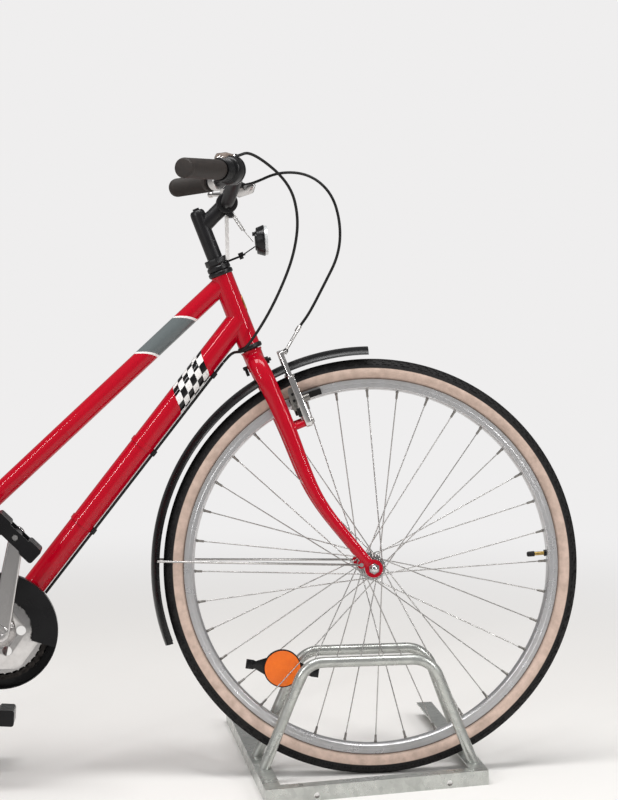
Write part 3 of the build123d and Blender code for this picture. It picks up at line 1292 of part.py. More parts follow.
with BuildPart() as chain_guard:
    with BuildSketch(side_plane(GUARD_Y + GUARD_WALL)) as cover:
        with Locations((BB.X, BB.Z)):
            Circle(GUARD_R)
        with Locations((guard_tail.X, guard_tail.Z)):
            Circle(GUARD_TAIL_R)
        make_hull()
        Polygon(
            (run_front.X, run_front.Z),
            (run_rear.X, run_rear.Z),
            (run_rear.X, (run_rear + below).Z),
            (run_front.X, (run_front + below).Z),
            align=None,
            mode=Mode.SUBTRACT,
        )
        with Locations((BB.X, BB.Z)):
            Circle(GUARD_R)
            Circle(GUARD_OPENING_R, mode=Mode.SUBTRACT)
    extrude(cover.sketch, amount=GUARD_WALL)
    with BuildSketch(side_plane(GUARD_Y + GUARD_WALL + 1)) as window:
        with Locations((BB.X, BB.Z)):
            Circle(GUARD_R - GUARD_WALL)
        guard_sector(GUARD_WINDOW)
    extrude(window.sketch, amount=GUARD_WALL + 2, mode=Mode.SUBTRACT)
    with BuildSketch(side_plane(GUARD_Y + GUARD_DEPTH)) as inner_plate:
        with Locations((BB.X, BB.Z)):
            Circle(GUARD_R)
            Circle(GUARD_INNER_R, mode=Mode.SUBTRACT)
        guard_sector(GUARD_INNER)
    extrude(inner_plate.sketch, amount=GUARD_WALL)
    with BuildSketch(side_plane(GUARD_Y + GUARD_DEPTH)) as rim_band:
        with Locations((BB.X, BB.Z)):
            Circle(GUARD_R)
            Circle(GUARD_R - GUARD_WALL, mode=Mode.SUBTRACT)
        guard_sector(GUARD_INNER)
    extrude(rim_band.sketch, amount=GUARD_DEPTH)
    bracket = Vector(BB_X - 29.5, GUARD_Y + 1.0, BB.Z + 92.0)
    round_bar(bracket, Vector(bracket.X, 0, bracket.Z), GUARD_BRACKET_R)
    round_bar(BB, seat_high, SEAT_TUBE_R + RUNNING_GAP, mode=Mode.SUBTRACT)

# Saddle with its rails and clamp
saddle_tail_x = SADDLE_FRONT_X - SADDLE_LENGTH
saddle_base = SADDLE_TOP - SADDLE_THICKNESS
post_top = seat_point(SEATPOST_TOP)
with BuildPart() as saddle:
    with BuildSketch(Plane.XY.offset(saddle_base)):
        with BuildLine():
            Spline(
                (SADDLE_FRONT_X, 0),
                (SADDLE_FRONT_X - SADDLE_WAIST_AT, SADDLE_WAIST),
                (saddle_tail_x + SADDLE_WIDEST_AT, SADDLE_HALF),
                (saddle_tail_x, 0),
                tangents=[(0, 1), (0, -1)],
            )
            mirror(about=Plane.XZ)
        make_face()
    extrude(amount=SADDLE_THICKNESS)
    fillet(saddle.faces().sort_by(Axis.Z)[-1].edges(), SADDLE_CROWN)
    nose_under = SADDLE_NOSE_DEPTH - SADDLE_THICKNESS
    with BuildSketch(Plane.XZ):
        Polygon(
            (SADDLE_FRONT_X + 1, saddle_base),
            (SADDLE_FRONT_X + 1, saddle_base - nose_under),
            (SADDLE_FRONT_X - SADDLE_WAIST_AT, saddle_base),
            align=None,
        )
    extrude(amount=SADDLE_HALF, both=True, mode=Mode.SUBTRACT)

with BuildPart() as saddle_rails:
    rail_z = post_top.Z + 8.0
    for side in (1, -1):
        rail_points = [
            Vector(SADDLE_FRONT_X - SADDLE_WAIST_AT - 6.0, side * RAIL_NOSE_Y, saddle_base + 4.0),
            Vector(SADDLE_FRONT_X - SADDLE_WAIST_AT - 30.0, side * RAIL_Y, rail_z),
            Vector(saddle_tail_x + 70.0, side * RAIL_Y, rail_z),
            Vector(saddle_tail_x + 42.0, side * RAIL_TAIL_Y, saddle_base + 4.0),
        ]
        bent_bar(rail_points, SADDLE_RAIL_BEND, SADDLE_RAIL_R)
    split(bisect_by=Plane.XY.offset(saddle_base - SEAT_GAP), keep=Keep.BOTTOM)
    clamp_middle = post_top + Vector(0, 0, 6.0)
    round_bar(clamp_middle - LEFT * CLAMP_HALF, clamp_middle + LEFT * CLAMP_HALF, CLAMP_R)
    round_bar(seat_point(SEATPOST_FOOT), post_top, SEATPOST_R + RUNNING_GAP, mode=Mode.SUBTRACT)

# Rear carrier: a tube frame over the rear wheel with legs to the fork ends
CARRIER_R = 5.0
CARRIER_Z = 762.0
CARRIER_FRONT_X = -815.0
CARRIER_REAR_X = -1185.0
CARRIER_HALF = 62.0
CARRIER_BAR_R = 4.0
CARRIER_BARS = 5
CARRIER_LEG_X = -1060.0
with BuildPart() as rear_carrier:
    for side in (1, -1):
        rail_front = Vector(CARRIER_FRONT_X, side * CARRIER_HALF, CARRIER_Z)
        round_bar(rail_front, rail_front + Vector(CARRIER_REAR_X - CARRIER_FRONT_X, 0, 0), CARRIER_R)
        leg_top = Vector(CARRIER_LEG_X, side * CARRIER_HALF, CARRIER_Z)
        plate_face = DROPOUT_Y + DROPOUT_THICKNESS + SEAT_GAP
        leg_foot = REAR_HUB + Vector(5.0, side * (plate_face + CARRIER_BAR_R + 1.0), 18.0)
        round_bar(leg_top, leg_foot, CARRIER_BAR_R)
        bolt_foot = Vector(leg_foot.X, side * plate_face, leg_foot.Z)
        round_bar(bolt_foot, leg_foot + LEFT * side * 3.0, CARRIER_BAR_R - 0.6)
    bar_step = (CARRIER_REAR_X - CARRIER_FRONT_X) / (CARRIER_BARS - 1)
    for index in range(CARRIER_BARS):
        bar_near = Vector(CARRIER_FRONT_X + bar_step * index, -CARRIER_HALF, CARRIER_Z)
        round_bar(bar_near, bar_near + LEFT * 2 * CARRIER_HALF, CARRIER_BAR_R)

REAR_REFLECTOR_WIDTH = 44.0
REAR_REFLECTOR_LENGTH = 70.0
REAR_REFLECTOR_DEPTH = 16.0
with BuildPart() as rear_reflector:
    reflector_at = on_rim(REAR_HUB, MUDGUARD_R, 160.0, 0)
    outward = (reflector_at - REAR_HUB).normalized()
    with BuildSketch(Plane(origin=reflector_at + outward * SEAT_GAP, x_dir=LEFT, z_dir=outward)):
        RectangleRounded(REAR_REFLECTOR_WIDTH, REAR_REFLECTOR_LENGTH, 8.0)
    extrude(amount=REAR_REFLECTOR_DEPTH)

# Kickstand on the left chain stay
STAND_AXIS = Vector(-0.1055, 1.0, 0.1055).normalized()
STAND_PIVOT = Vector(-1000.0, 88.0, 316.0)
STAND_BLOCK_AT = Vector(-1000.0, 65.5, 322.0)
STAND_BLOCK = (34.0, 27.0, 36.0)
STAND_HUB_R = 13.0
STAND_HUB_HALF = 6.5
STAND_PIN_R = 5.0
STAND_LEG_R = 8.0
STAND_FOOT_R = 10.5
STAND_FOOT_LENGTH = 30.0
stand_foot = Vector(-983.0, 176.0, 19.0)
with BuildPart() as kickstand_mount:
    with Locations(STAND_BLOCK_AT):
        Box(*STAND_BLOCK)
    stay_bend, stay_end = chain_stay_points(1)[1:]
    stay_past = (stay_end - stay_bend) * 0.2
    round_bar(stay_bend, stay_end + stay_past, STAY_R + RUNNING_GAP, mode=Mode.SUBTRACT)
    round_bar(STAND_PIVOT - STAND_AXIS * 18.0, STAND_PIVOT + STAND_AXIS * 8.0, STAND_PIN_R)
with BuildPart() as kickstand_leg:
    hub_half = STAND_AXIS * STAND_HUB_HALF
    round_bar(STAND_PIVOT - hub_half, STAND_PIVOT + hub_half, STAND_HUB_R)
    round_bar(STAND_PIVOT, stand_foot, STAND_LEG_R)
    stand_run = (stand_foot - STAND_PIVOT).normalized()
    round_bar(stand_foot - stand_run * STAND_FOOT_LENGTH, stand_foot, STAND_FOOT_R)
    pin_reach = STAND_AXIS * 20
    round_bar(STAND_PIVOT - pin_reach, STAND_PIVOT + pin_reach, STAND_PIN_R + RUNNING_GAP, mode=Mode.SUBTRACT)

# Every piece under its name: the rack's stand upright, and the rest lean with the bicycle
upright = {
    "rack_base": rack_base,
    "rack_hoop_near": rack_hoop_near,
    "rack_hoop_far": rack_hoop_far,
}
leaning = {
    "fork": fork,
    "headset_locknut": headset_locknut,
    "stem": stem,
    "handlebar": handlebar,
    "grip_left": grip_left,
    "grip_right": grip_right,
    "twist_shifter": twist_shifter,
    "brake_lever": brake_lever,
    "brake_arm_right": brake_arm_right,
    "brake_arm_left": brake_arm_left,
    "brake_noodle": brake_noodle,
    "brake_cable": brake_cable,
    "gear_cable_loop": gear_cable_loop,
    "front_mudguard": front_mudguard,
    "front_mudguard_stays": front_mudguard_stays,
    "reflector_bracket": reflector_bracket,
    "front_reflector": front_reflector,
    "front_reflector_lens": front_reflector_lens,
    "front_axle": front_axle,
    "front_tyre": front_tyre,
    "front_rim": front_rim,
    "front_spokes": front_spokes,
    "front_hub": front_hub,
    "spoke_reflector_holder": spoke_reflector_holder,
    "spoke_reflector": spoke_reflector,
    "head_tube": head_tube,
    "headset_cups": headset_cups,
    "top_tube": top_tube,
    "down_tube": down_tube,
    "seat_tube": seat_tube,
    "bottom_bracket_cups": bottom_bracket_cups,
    "seatpost": seatpost,
    "saddle": saddle,
    "saddle_rails": saddle_rails,
    "chain_stays": chain_stays,
    "seat_stays": seat_stays,
    "rear_axle": rear_axle,
    "rear_mudguard": rear_mudguard,
    "rear_mudguard_stays": rear_mudguard_stays,
    "rear_reflector": rear_reflector,
    "rear_carrier": rear_carrier,
    "chain_guard": chain_guard,
    "chain": chain,
    "gear_cable_run": gear_cable_run,
    "cable_clips": cable_clips,
    "kickstand_mount": kickstand_mount,
    "kickstand_leg": kickstand_leg,
    "chainring": chainring,
    "bb_axle": bb_axle,
    "right_crank": right_crank,
    "left_crank": left_crank,
    "right_pedal": right_pedal,
    "left_pedal": left_pedal,
    "rear_tyre": rear_tyre,
    "rear_rim": rear_rim,
    "rear_spokes": rear_spokes,
    "rear_hub": rear_hub,
}
lean_line = Axis((0, 0, TYRE_WIDTH / 2), (1, 0, 0))
for builder in leaning.values():
    builder.part = builder.part.rotate(lean_line, -LEAN)
everything = upright | leaning
boxes = [builder.part.bounding_box() for builder in everything.values()]
middle_x = (min(box.min.X for box in boxes) + max(box.max.X for box in boxes)) / 2
middle_y = (min(box.min.Y for box in boxes) + max(box.max.Y for box in boxes)) / 2
to_origin = Location((-middle_x, -middle_y, 0))
for name, builder in everything.items():
    builder.part = builder.part.moved(to_origin)
    builder.part.label = name
    export_step(builder.part, f"parts/{name}.step")
print("moved by", round(-middle_x, 3), round(-middle_y, 3))
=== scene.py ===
"""Dresses a packed city bicycle that stands with its front wheel in a floor rack.

Shapes are drawn in millimetres on the upright bicycle (X forward, Y to the rider's left, Z up, the floor
at zero and the front hub above the origin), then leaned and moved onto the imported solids.
"""
import json
import logging
import math
from dataclasses import dataclass, field
from enum import Enum
from typing import Sequence

import bmesh
import bpy
from mathutils import Matrix, Vector

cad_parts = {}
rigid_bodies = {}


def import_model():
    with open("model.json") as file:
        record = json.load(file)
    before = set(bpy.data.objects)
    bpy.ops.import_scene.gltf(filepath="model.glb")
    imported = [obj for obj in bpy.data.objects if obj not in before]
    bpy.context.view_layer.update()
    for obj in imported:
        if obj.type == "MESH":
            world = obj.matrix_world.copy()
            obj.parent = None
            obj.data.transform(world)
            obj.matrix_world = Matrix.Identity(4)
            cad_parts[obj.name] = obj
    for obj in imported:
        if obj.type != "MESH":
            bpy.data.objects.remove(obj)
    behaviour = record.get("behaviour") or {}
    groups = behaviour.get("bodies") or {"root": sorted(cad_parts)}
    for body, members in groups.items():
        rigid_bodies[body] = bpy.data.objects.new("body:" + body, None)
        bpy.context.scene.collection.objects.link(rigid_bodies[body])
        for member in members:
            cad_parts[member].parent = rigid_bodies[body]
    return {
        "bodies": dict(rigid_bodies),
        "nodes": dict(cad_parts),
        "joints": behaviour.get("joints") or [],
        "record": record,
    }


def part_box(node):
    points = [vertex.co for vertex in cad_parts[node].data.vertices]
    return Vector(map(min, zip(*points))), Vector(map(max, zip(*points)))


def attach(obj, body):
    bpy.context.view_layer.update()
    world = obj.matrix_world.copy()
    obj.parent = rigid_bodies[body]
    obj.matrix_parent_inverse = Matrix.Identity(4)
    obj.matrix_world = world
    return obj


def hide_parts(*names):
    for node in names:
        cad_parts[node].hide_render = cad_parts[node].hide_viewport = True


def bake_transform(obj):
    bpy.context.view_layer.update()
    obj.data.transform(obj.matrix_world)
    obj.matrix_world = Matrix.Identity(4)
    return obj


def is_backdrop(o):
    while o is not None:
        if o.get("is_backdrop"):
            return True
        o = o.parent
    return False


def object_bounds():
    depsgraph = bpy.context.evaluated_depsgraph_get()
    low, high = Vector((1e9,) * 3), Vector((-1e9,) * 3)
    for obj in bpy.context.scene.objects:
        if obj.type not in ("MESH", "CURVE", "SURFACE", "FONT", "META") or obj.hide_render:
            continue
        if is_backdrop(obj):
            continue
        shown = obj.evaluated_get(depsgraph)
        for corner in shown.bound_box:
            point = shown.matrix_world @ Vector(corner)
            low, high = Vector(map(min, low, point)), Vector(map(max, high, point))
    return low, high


LOG = logging.getLogger("bicycle")
MM = 0.001
LEAN = math.radians(4.65)
STAND_LINE = 18.5
HEAD_ANGLE = math.radians(70.0)
FRONT_HUB = Vector((0.0, 0.0, 350.0))
REAR_HUB = Vector((-1070.6, 0.0, 350.0))
CRANK_AXLE = Vector((-623.6, 0.0, 265.0))
LEFT = Vector((0.0, 1.0, 0.0))
UP = Vector((0.0, 0.0, 1.0))
FORWARD = Vector((1.0, 0.0, 0.0))
STEER_UP = Vector((-math.cos(HEAD_ANGLE), 0.0, math.sin(HEAD_ANGLE)))
STEER_FORWARD = Vector((math.sin(HEAD_ANGLE), 0.0, math.cos(HEAD_ANGLE)))
STEER_FOOT = FRONT_HUB - STEER_FORWARD * 55.6
SEAT_ANGLE = math.radians(72.0)
SEAT_UP = Vector((-math.cos(SEAT_ANGLE), 0.0, math.sin(SEAT_ANGLE)))
SHARP_DEGREES = 32.0  # an edge over this angle is drawn sharp
ROUNDED_OVER_DEGREES = 40.0  # an edge over this angle gets a rounded strip
COPLANAR_DEGREES = 0.3  # faces within this angle are one flat wall
TUBE_WALL_DOT = 0.93  # a tube's wall faces outwards at least this much, a cut through it doesn't
WELD_MM = 0.01


class Side(Enum):
    """The two sides of the bicycle, with the sign of Y on each."""

    RIGHT = -1
    LEFT = 1


def steer(height: float, forward: float = 0.0, left: float = 0.0) -> Vector:
    """A point by its height along the steering axis, ahead of it and to the left."""
    return STEER_FOOT + STEER_UP * height + STEER_FORWARD * forward + LEFT * left


def seat(height: float) -> Vector:
    """A point of the seat tube's axis above the crank axle."""
    return CRANK_AXLE + SEAT_UP * height


TOP_TUBE = (steer(536.0), seat(182.0))
DOWN_TUBE = (steer(468.0), CRANK_AXLE)
TUBES = {
    "head_tube": (steer(423.0), steer(548.0)),
    "top_tube": TOP_TUBE,
    "down_tube": DOWN_TUBE,
    "seat_tube": (seat(0.0), seat(500.0)),
}
DOWN_LINE = (DOWN_TUBE[1] - DOWN_TUBE[0]).normalized()
UNDER_DOWN_TUBE = DOWN_LINE.cross(LEFT).normalized()
CABLE_DROP = 22.6
CABLE_ASIDE = 7.0


def cable_lane(station: float) -> Vector:
    """A point of the gear cable's line under the down tube, by its distance from the tube's start."""
    return DOWN_TUBE[0] + DOWN_LINE * station + UNDER_DOWN_TUBE * CABLE_DROP - LEFT * CABLE_ASIDE


def radial(turn: float) -> Vector:
    """A unit vector in the wheels' plane, by its angle up from forward in radians."""
    return Vector((math.cos(turn), 0.0, math.sin(turn)))


def aim(origin: Vector, ahead: Vector, across: Vector | None = None) -> Matrix:
    """A place whose Z axis points ahead.

    Args:
        origin: Where the place is.
        ahead: Direction of its Z axis.
        across: Rough direction of its X axis; any square one where it is left out.

    Returns:
        The matrix from the place to the bicycle.
    """
    axis = ahead.normalized()
    hint = across if across is not None else UP
    if abs(hint.normalized().dot(axis)) > 0.999:
        hint = FORWARD if abs(axis.x) < 0.9 else UP
    first = (hint - axis * hint.dot(axis)).normalized()
    second = axis.cross(first)
    turned = Matrix((first, second, axis)).transposed().to_4x4()
    return Matrix.Translation(origin) @ turned


def flowing_path(points: Sequence[Vector], steps: int = 8) -> list[Vector]:
    """A cable's line: a soft bend at every given corner, from midway before it to midway after it.

    Args:
        points: Ends and corners of the line.
        steps: Stretches in each bend.

    Returns:
        The points of the line, ends included.
    """
    line = [points[0]]
    for before, corner, after in zip(points, points[1:], points[2:]):
        first, last = (before + corner) / 2, (corner + after) / 2
        for step in range(steps):
            t = step / steps
            line.append(first * (1 - t) ** 2 + corner * 2 * t * (1 - t) + last * t**2)
    return [*line, (points[-2] + points[-1]) / 2, points[-1]]


def bent_path(points: Sequence[Vector], radius: float, steps: int = 8) -> list[Vector]:
    """The centre line of a bent bar: straight runs joined by arcs.

    Args:
        points: Ends and corners of the runs.
        radius: Bend radius at every corner.
        steps: Stretches in each arc.

    Returns:
        The points of the line, ends included.
    """
    line = [points[0]]
    for before, corner, after in zip(points, points[1:], points[2:]):
        back, on = (before - corner).normalized(), (after - corner).normalized()
        half = back.angle(on) / 2
        reach = radius / math.tan(half)
        centre = corner + (back + on).normalized() * radius / math.sin(half)
        first, last = corner + back * reach, corner + on * reach
        for step in range(steps + 1):
            spoke = (first - centre).slerp(last - centre, step / steps)
            line.append(centre + spoke)
    return [*line, points[-1]]


@dataclass
class Shape:
    """A closed form in the making, in millimetres on the upright bicycle."""

    bm: bmesh.types.BMesh = field(default_factory=bmesh.new)

    def skin(self, rings: Sequence[Matrix], segments: int = 32, closed: bool = True) -> "Shape":
        """Skins a form over unit circles.

        Args:
            rings: A matrix for each circle.
            segments: Sides of each circle.
            closed: Whether both ends get a face.

        Returns:
            The shape.
        """
        made = bmesh.ops.create_circle(
            self.bm, cap_ends=False, radius=1.0, segments=segments, matrix=rings[0]
        )
        loop = list({edge for vert in made["verts"] for edge in vert.link_edges})
        if closed:
            bmesh.ops.edgeloop_fill(self.bm, edges=loop)
        for before, after in zip(rings, rings[1:]):
            grown = bmesh.ops.extrude_edge_only(self.bm, edges=loop)["geom"]
            verts = [item for item in grown if isinstance(item, bmesh.types.BMVert)]
            fresh = set(verts)
            loop = list(
                {edge for vert in verts for edge in vert.link_edges if edge.other_vert(vert) in fresh}
            )
            bmesh.ops.transform(self.bm, matrix=after @ before.inverted(), verts=verts)
        if closed:
            bmesh.ops.edgeloop_fill(self.bm, edges=loop)
        return self

    def pipe(
        self, path: Sequence[Vector], radii: float | Sequence[float], segments: int = 24, flat: float = 1.0,
        across: Vector = LEFT
    ) -> "Shape":
        """A round or oval bar along a line.

        Args:
            path: The centre line.
            radii: One radius, or one for each point.
            segments: Sides of the section.
            flat: Depth of the section for a width of one.
            across: Rough direction of the section's width.

        Returns:
            The shape.
        """
        sizes = [radii] * len(path) if isinstance(radii, (int, float)) else list(radii)
        rings, hint = [], across
        for index, (point, size) in enumerate(zip(path, sizes)):
            before, after = path[max(index - 1, 0)], path[min(index + 1, len(path) - 1)]
            place = aim(point, after - before, hint)
            hint = Vector(place.col[0][:3])
            rings.append(place @ Matrix.Diagonal((size, size * flat, 1.0, 1.0)))
        return self.skin(rings, segments)

    def bar(
        self, start: Vector, end: Vector, radius: float, segments: int = 32, soft: float = 0.4
    ) -> "Shape":
        """A straight round bar with slightly softened ends."""
        run = (end - start).normalized() * soft
        return self.pipe(
            [start, start + run, end - run, end], [radius - soft, radius, radius, radius - soft], segments
        )

    def turn(
        self, profile: Sequence[tuple[float, float]], place: Matrix, steps: int = 64, arc: float = 360.0
    ) -> "Shape":
        """A turned form.

        Args:
            profile: Radius and height pairs of a closed outline.
            place: Where the form is; it turns about the Z axis.
            steps: Stretches round the axis.
            arc: How far it turns, in degrees.

        Returns:
            The shape.
        """
        verts = [self.bm.verts.new((radius, 0.0, height)) for radius, height in profile]
        edges = [self.bm.edges.new((a, b)) for a, b in zip(verts, verts[1:] + verts[:1])]
        full = arc >= 360.0
        if not full:
            bmesh.ops.edgeloop_fill(self.bm, edges=edges)
        spun = bmesh.ops.spin(
            self.bm, geom=verts + edges, cent=(0, 0, 0), axis=(0, 0, 1), dvec=(0, 0, 0),
            angle=math.radians(arc), steps=steps, use_merge=full, use_normal_flip=False, use_duplicate=False,
        )
        if not full:
            bmesh.ops.edgeloop_fill(
                self.bm, edges=[g for g in spun["geom_last"] if isinstance(g, bmesh.types.BMEdge)]
            )
        made, queue = set(verts), list(verts)
        while queue:
            for edge in queue.pop().link_edges:
                for vert in edge.verts:
                    if vert not in made:
                        made.add(vert)
                        queue.append(vert)
        bmesh.ops.transform(self.bm, matrix=place, verts=list(made))
        return self

    def block(self, size: tuple[float, float, float], place: Matrix, soft: float = 0.8) -> "Shape":
        """A box with rounded edges, centred on its place.

        Args:
            size: Its three sides.
            place: Its middle and directions.
            soft: Width of its rounded edges.

        Returns:
            The shape.
        """
        made = bmesh.ops.create_cube(self.bm, size=1.0, matrix=place @ Matrix.Diagonal((*size, 1.0)))
        edges = list({edge for vert in made["verts"] for edge in vert.link_edges})
        bmesh.ops.bevel(
            self.bm, geom=edges, offset=soft, segments=2, affect="EDGES", profile=0.5, material=-1
        )
        return self

    def ball(self, centre: Vector, radius: float, detail: int = 16) -> "Shape":
        """A ball."""
        bmesh.ops.create_uvsphere(
            self.bm, u_segments=detail, v_segments=detail // 2, radius=radius,
            matrix=Matrix.Translation(centre)
        )
        return self

    def plate(
        self, outline: Sequence[tuple[float, float]], place: Matrix, thickness: float, soft: float = 0.5
    ) -> "Shape":
        """A flat piece cut to an outline.

        Args:
            outline: Corners in the place's XY plane.
            place: Where the piece is.
            thickness: How far it reaches along the place's Z axis.
            soft: Width of its rounded edges.

        Returns:
            The shape.
        """
        verts = [self.bm.verts.new(place @ Vector((x, y, 0.0))) for x, y in outline]
        face = self.bm.faces.new(verts)
        grown = bmesh.ops.extrude_face_region(self.bm, geom=[face], use_keep_orig=True)["geom"]
        top = [item for item in grown if isinstance(item, bmesh.types.BMVert)]
        bmesh.ops.translate(self.bm, verts=top, vec=place.to_3x3() @ Vector((0.0, 0.0, thickness)))
        if soft > 0:
            rims = {edge for vert in (*verts, *top) for edge in vert.link_edges}
            flat = [edge for edge in rims if (edge.verts[0] in top) == (edge.verts[1] in top)]
            bmesh.ops.bevel(
                self.bm, geom=flat, offset=soft, segments=2, affect="EDGES", profile=0.5, material=-1,
                clamp_overlap=True
            )
        return self

    def nut(self, place: Matrix, radius: float, height: float, sides: int = 6) -> "Shape":
        """A faceted nut with a chamfered crown, standing on its place.

        Args:
            place: Where its foot is; it stands along the Z axis.
            radius: Its corners' radius.
            height: Its height.
            sides: How many flats it has.

        Returns:
            The shape.
        """
        made = bmesh.ops.create_cone(
            self.bm, cap_ends=True, segments=sides, radius1=radius, radius2=radius, depth=height,
            matrix=place @ Matrix.Translation((0.0, 0.0, height / 2)),
        )
        edges = list({edge for vert in made["verts"] for edge in vert.link_edges})
        bmesh.ops.bevel(
            self.bm, geom=edges, offset=radius * 0.08, segments=2, affect="EDGES", profile=0.5, material=-1
        )
        return self


def slot_outline(circles: Sequence[tuple[float, float, float]], count: int = 12) -> list[tuple[float, float]]:
    """The outline of a belt drawn tight round two circles.

    Args:
        circles: Two entries of x, y and radius.
        count: Corners on each end.

    Returns:
        The corners of the outline.
    """
    (ax, ay, ar), (bx, by, br) = circles
    run = math.atan2(by - ay, bx - ax)
    reach = math.hypot(bx - ax, by - ay)
    lean = math.acos((ar - br) / reach)
    corners = []
    for index in range(count + 1):
        turn = run + lean + (2 * math.pi - 2 * lean) * index / count
        corners.append((ax + ar * math.cos(turn), ay + ar * math.sin(turn)))
    for index in range(count + 1):
        turn = run - lean + 2 * lean * index / count
        corners.append((bx + br * math.cos(turn), by + br * math.sin(turn)))
    return corners


def linear(code: str) -> tuple[float, float, float, float]:
    """An sRGB hex colour as linear red, green, blue and alpha."""
    parts = [int(code[index:index + 2], 16) / 255 for index in (0, 2, 4)]
    return (*(part / 12.92 if part <= 0.04045 else ((part + 0.055) / 1.055) ** 2.4 for part in parts), 1.0)


def add_node(tree: bpy.types.NodeTree, kind: str, settings: dict | None = None,
             inputs: dict | None = None) -> bpy.types.Node:
    """Adds a node with its settings and its links.

    Args:
        tree: The node tree.
        kind: The node's type.
        settings: Its properties.
        inputs: Values or output sockets by input name or number.

    Returns:
        The node.
    """
    made = tree.nodes.new(kind)
    for name, value in (settings or {}).items():
        setattr(made, name, value)
    for name, value in (inputs or {}).items():
        if isinstance(value, bpy.types.NodeSocket):
            tree.links.new(value, made.inputs[name])
        else:
            made.inputs[name].default_value = value
    return made


@dataclass(frozen=True)
class Finish:
    """A surface with its own colour wander, gloss wander and relief."""

    name: str
    slot: str
    color: str
    second: str = ""
    wander_mm: float = 40.0
    wander: float = 0.0
    metallic: float = 0.0
    roughness: float = 0.4
    gloss_wander: float = 0.05
    coat: float = 0.0
    coat_roughness: float = 0.05
    coat_ior: float = 1.5
    specular: float = 0.5
    relief_mm: float = 0.0
    grain_mm: float = 1.0
    ior: float = 1.5
    transmission: float = 0.0

    def build(self) -> bpy.types.Material:
        """Makes the material.

        Returns:
            The material.
        """
        material = bpy.data.materials.new(self.name)
        material.use_nodes = True
        tree = material.node_tree
        shader = tree.nodes["Principled BSDF"]
        values = {
            "Base Color": linear(self.color), "Metallic": self.metallic, "Roughness": self.roughness,
            "Coat Weight": self.coat, "Coat Roughness": self.coat_roughness, "Coat IOR": self.coat_ior,
            "Specular IOR Level": self.specular, "IOR": self.ior, "Transmission Weight": self.transmission,
        }
        for name, value in values.items():
            shader.inputs[name].default_value = value
        place = add_node(tree, "ShaderNodeTexCoord").outputs["Object"]
        self.dress(tree, shader, place)
        return material

    def dress(self, tree: bpy.types.NodeTree, shader: bpy.types.Node, place: bpy.types.NodeSocket) -> None:
        """Adds colour, gloss and relief.

        Args:
            tree: The node tree.
            shader: The material's shader.
            place: The surface's own coordinates.
        """
        tree.links.new(self.colour(tree, place), shader.inputs["Base Color"])
        patches = add_node(
            tree, "ShaderNodeTexNoise", None,
            {"Vector": place, "Scale": 1 / (self.wander_mm * MM), "Detail": 5.0}
        )
        gloss = add_node(
            tree, "ShaderNodeMapRange", None,
            {
                "Value": patches.outputs["Fac"], "From Min": 0.3, "From Max": 0.7,
                "To Min": max(self.roughness - self.gloss_wander, 0.02),
                "To Max": self.roughness + self.gloss_wander
            }
        )
        tree.links.new(gloss.outputs["Result"], shader.inputs["Roughness"])
        if self.relief_mm > 0:
            relief = self.relief(tree, place)
            bump = add_node(
                tree, "ShaderNodeBump", None,
                {"Height": relief, "Distance": self.relief_mm * MM, "Strength": 1.0}
            )
            tree.links.new(bump.outputs["Normal"], shader.inputs["Normal"])

    def colour(self, tree: bpy.types.NodeTree, place: bpy.types.NodeSocket) -> bpy.types.NodeSocket:
        """The surface's colour with its wander."""
        return self.blotches(tree, place, linear(self.color), linear(self.second or self.color))

    def blotches(self, tree: bpy.types.NodeTree, place: bpy.types.NodeSocket, first: tuple, second: tuple,
                 ) -> bpy.types.NodeSocket:
        """Wanders between two colours over the surface.

        Args:
            tree: The node tree.
            place: The surface's own coordinates.
            first: One colour.
            second: The other colour.

        Returns:
            The colour.
        """
        noise = add_node(
            tree, "ShaderNodeTexNoise", None,
            {"Vector": place, "Scale": 1 / (self.wander_mm * MM), "Detail": 6.0, "Roughness": 0.6},
        )
        share = add_node(
            tree, "ShaderNodeMapRange", None,
            {
                "Value": noise.outputs["Fac"], "From Min": 0.35, "From Max": 0.75, "To Min": 0.0,
                "To Max": self.wander
            }
        )
        mixed = add_node(
            tree, "ShaderNodeMix", {"data_type": "RGBA"},
            {"Factor": share.outputs["Result"], "A": first, "B": second},
        )
        return mixed.outputs[2]

    def relief(self, tree: bpy.types.NodeTree, place: bpy.types.NodeSocket) -> bpy.types.NodeSocket:
        """Fine grain as height."""
        grain = add_node(
            tree, "ShaderNodeTexNoise", None,
            {"Vector": place, "Scale": 1 / (self.grain_mm * MM), "Detail": 3.0}
        )
        return grain.outputs["Fac"]


def centred(tree: bpy.types.NodeTree, place: bpy.types.NodeSocket, origin: Matrix) -> bpy.types.NodeSocket:
    """Surface coordinates seen from a place of the row frame, in metres.

    Args:
        tree: The node tree.
        place: The surface's own coordinates.
        origin: The place, its Z axis the one that patterns run round.

    Returns:
        The output with the coordinates.
    """
    inverse = origin.inverted()
    turned = add_node(
        tree, "ShaderNodeMapping", {"vector_type": "POINT"},
        {
            "Vector": place, "Location": inverse.translation, "Rotation": inverse.to_euler(),
            "Scale": (1.0, 1.0, 1.0)
        }
    )
    return turned.outputs["Vector"]


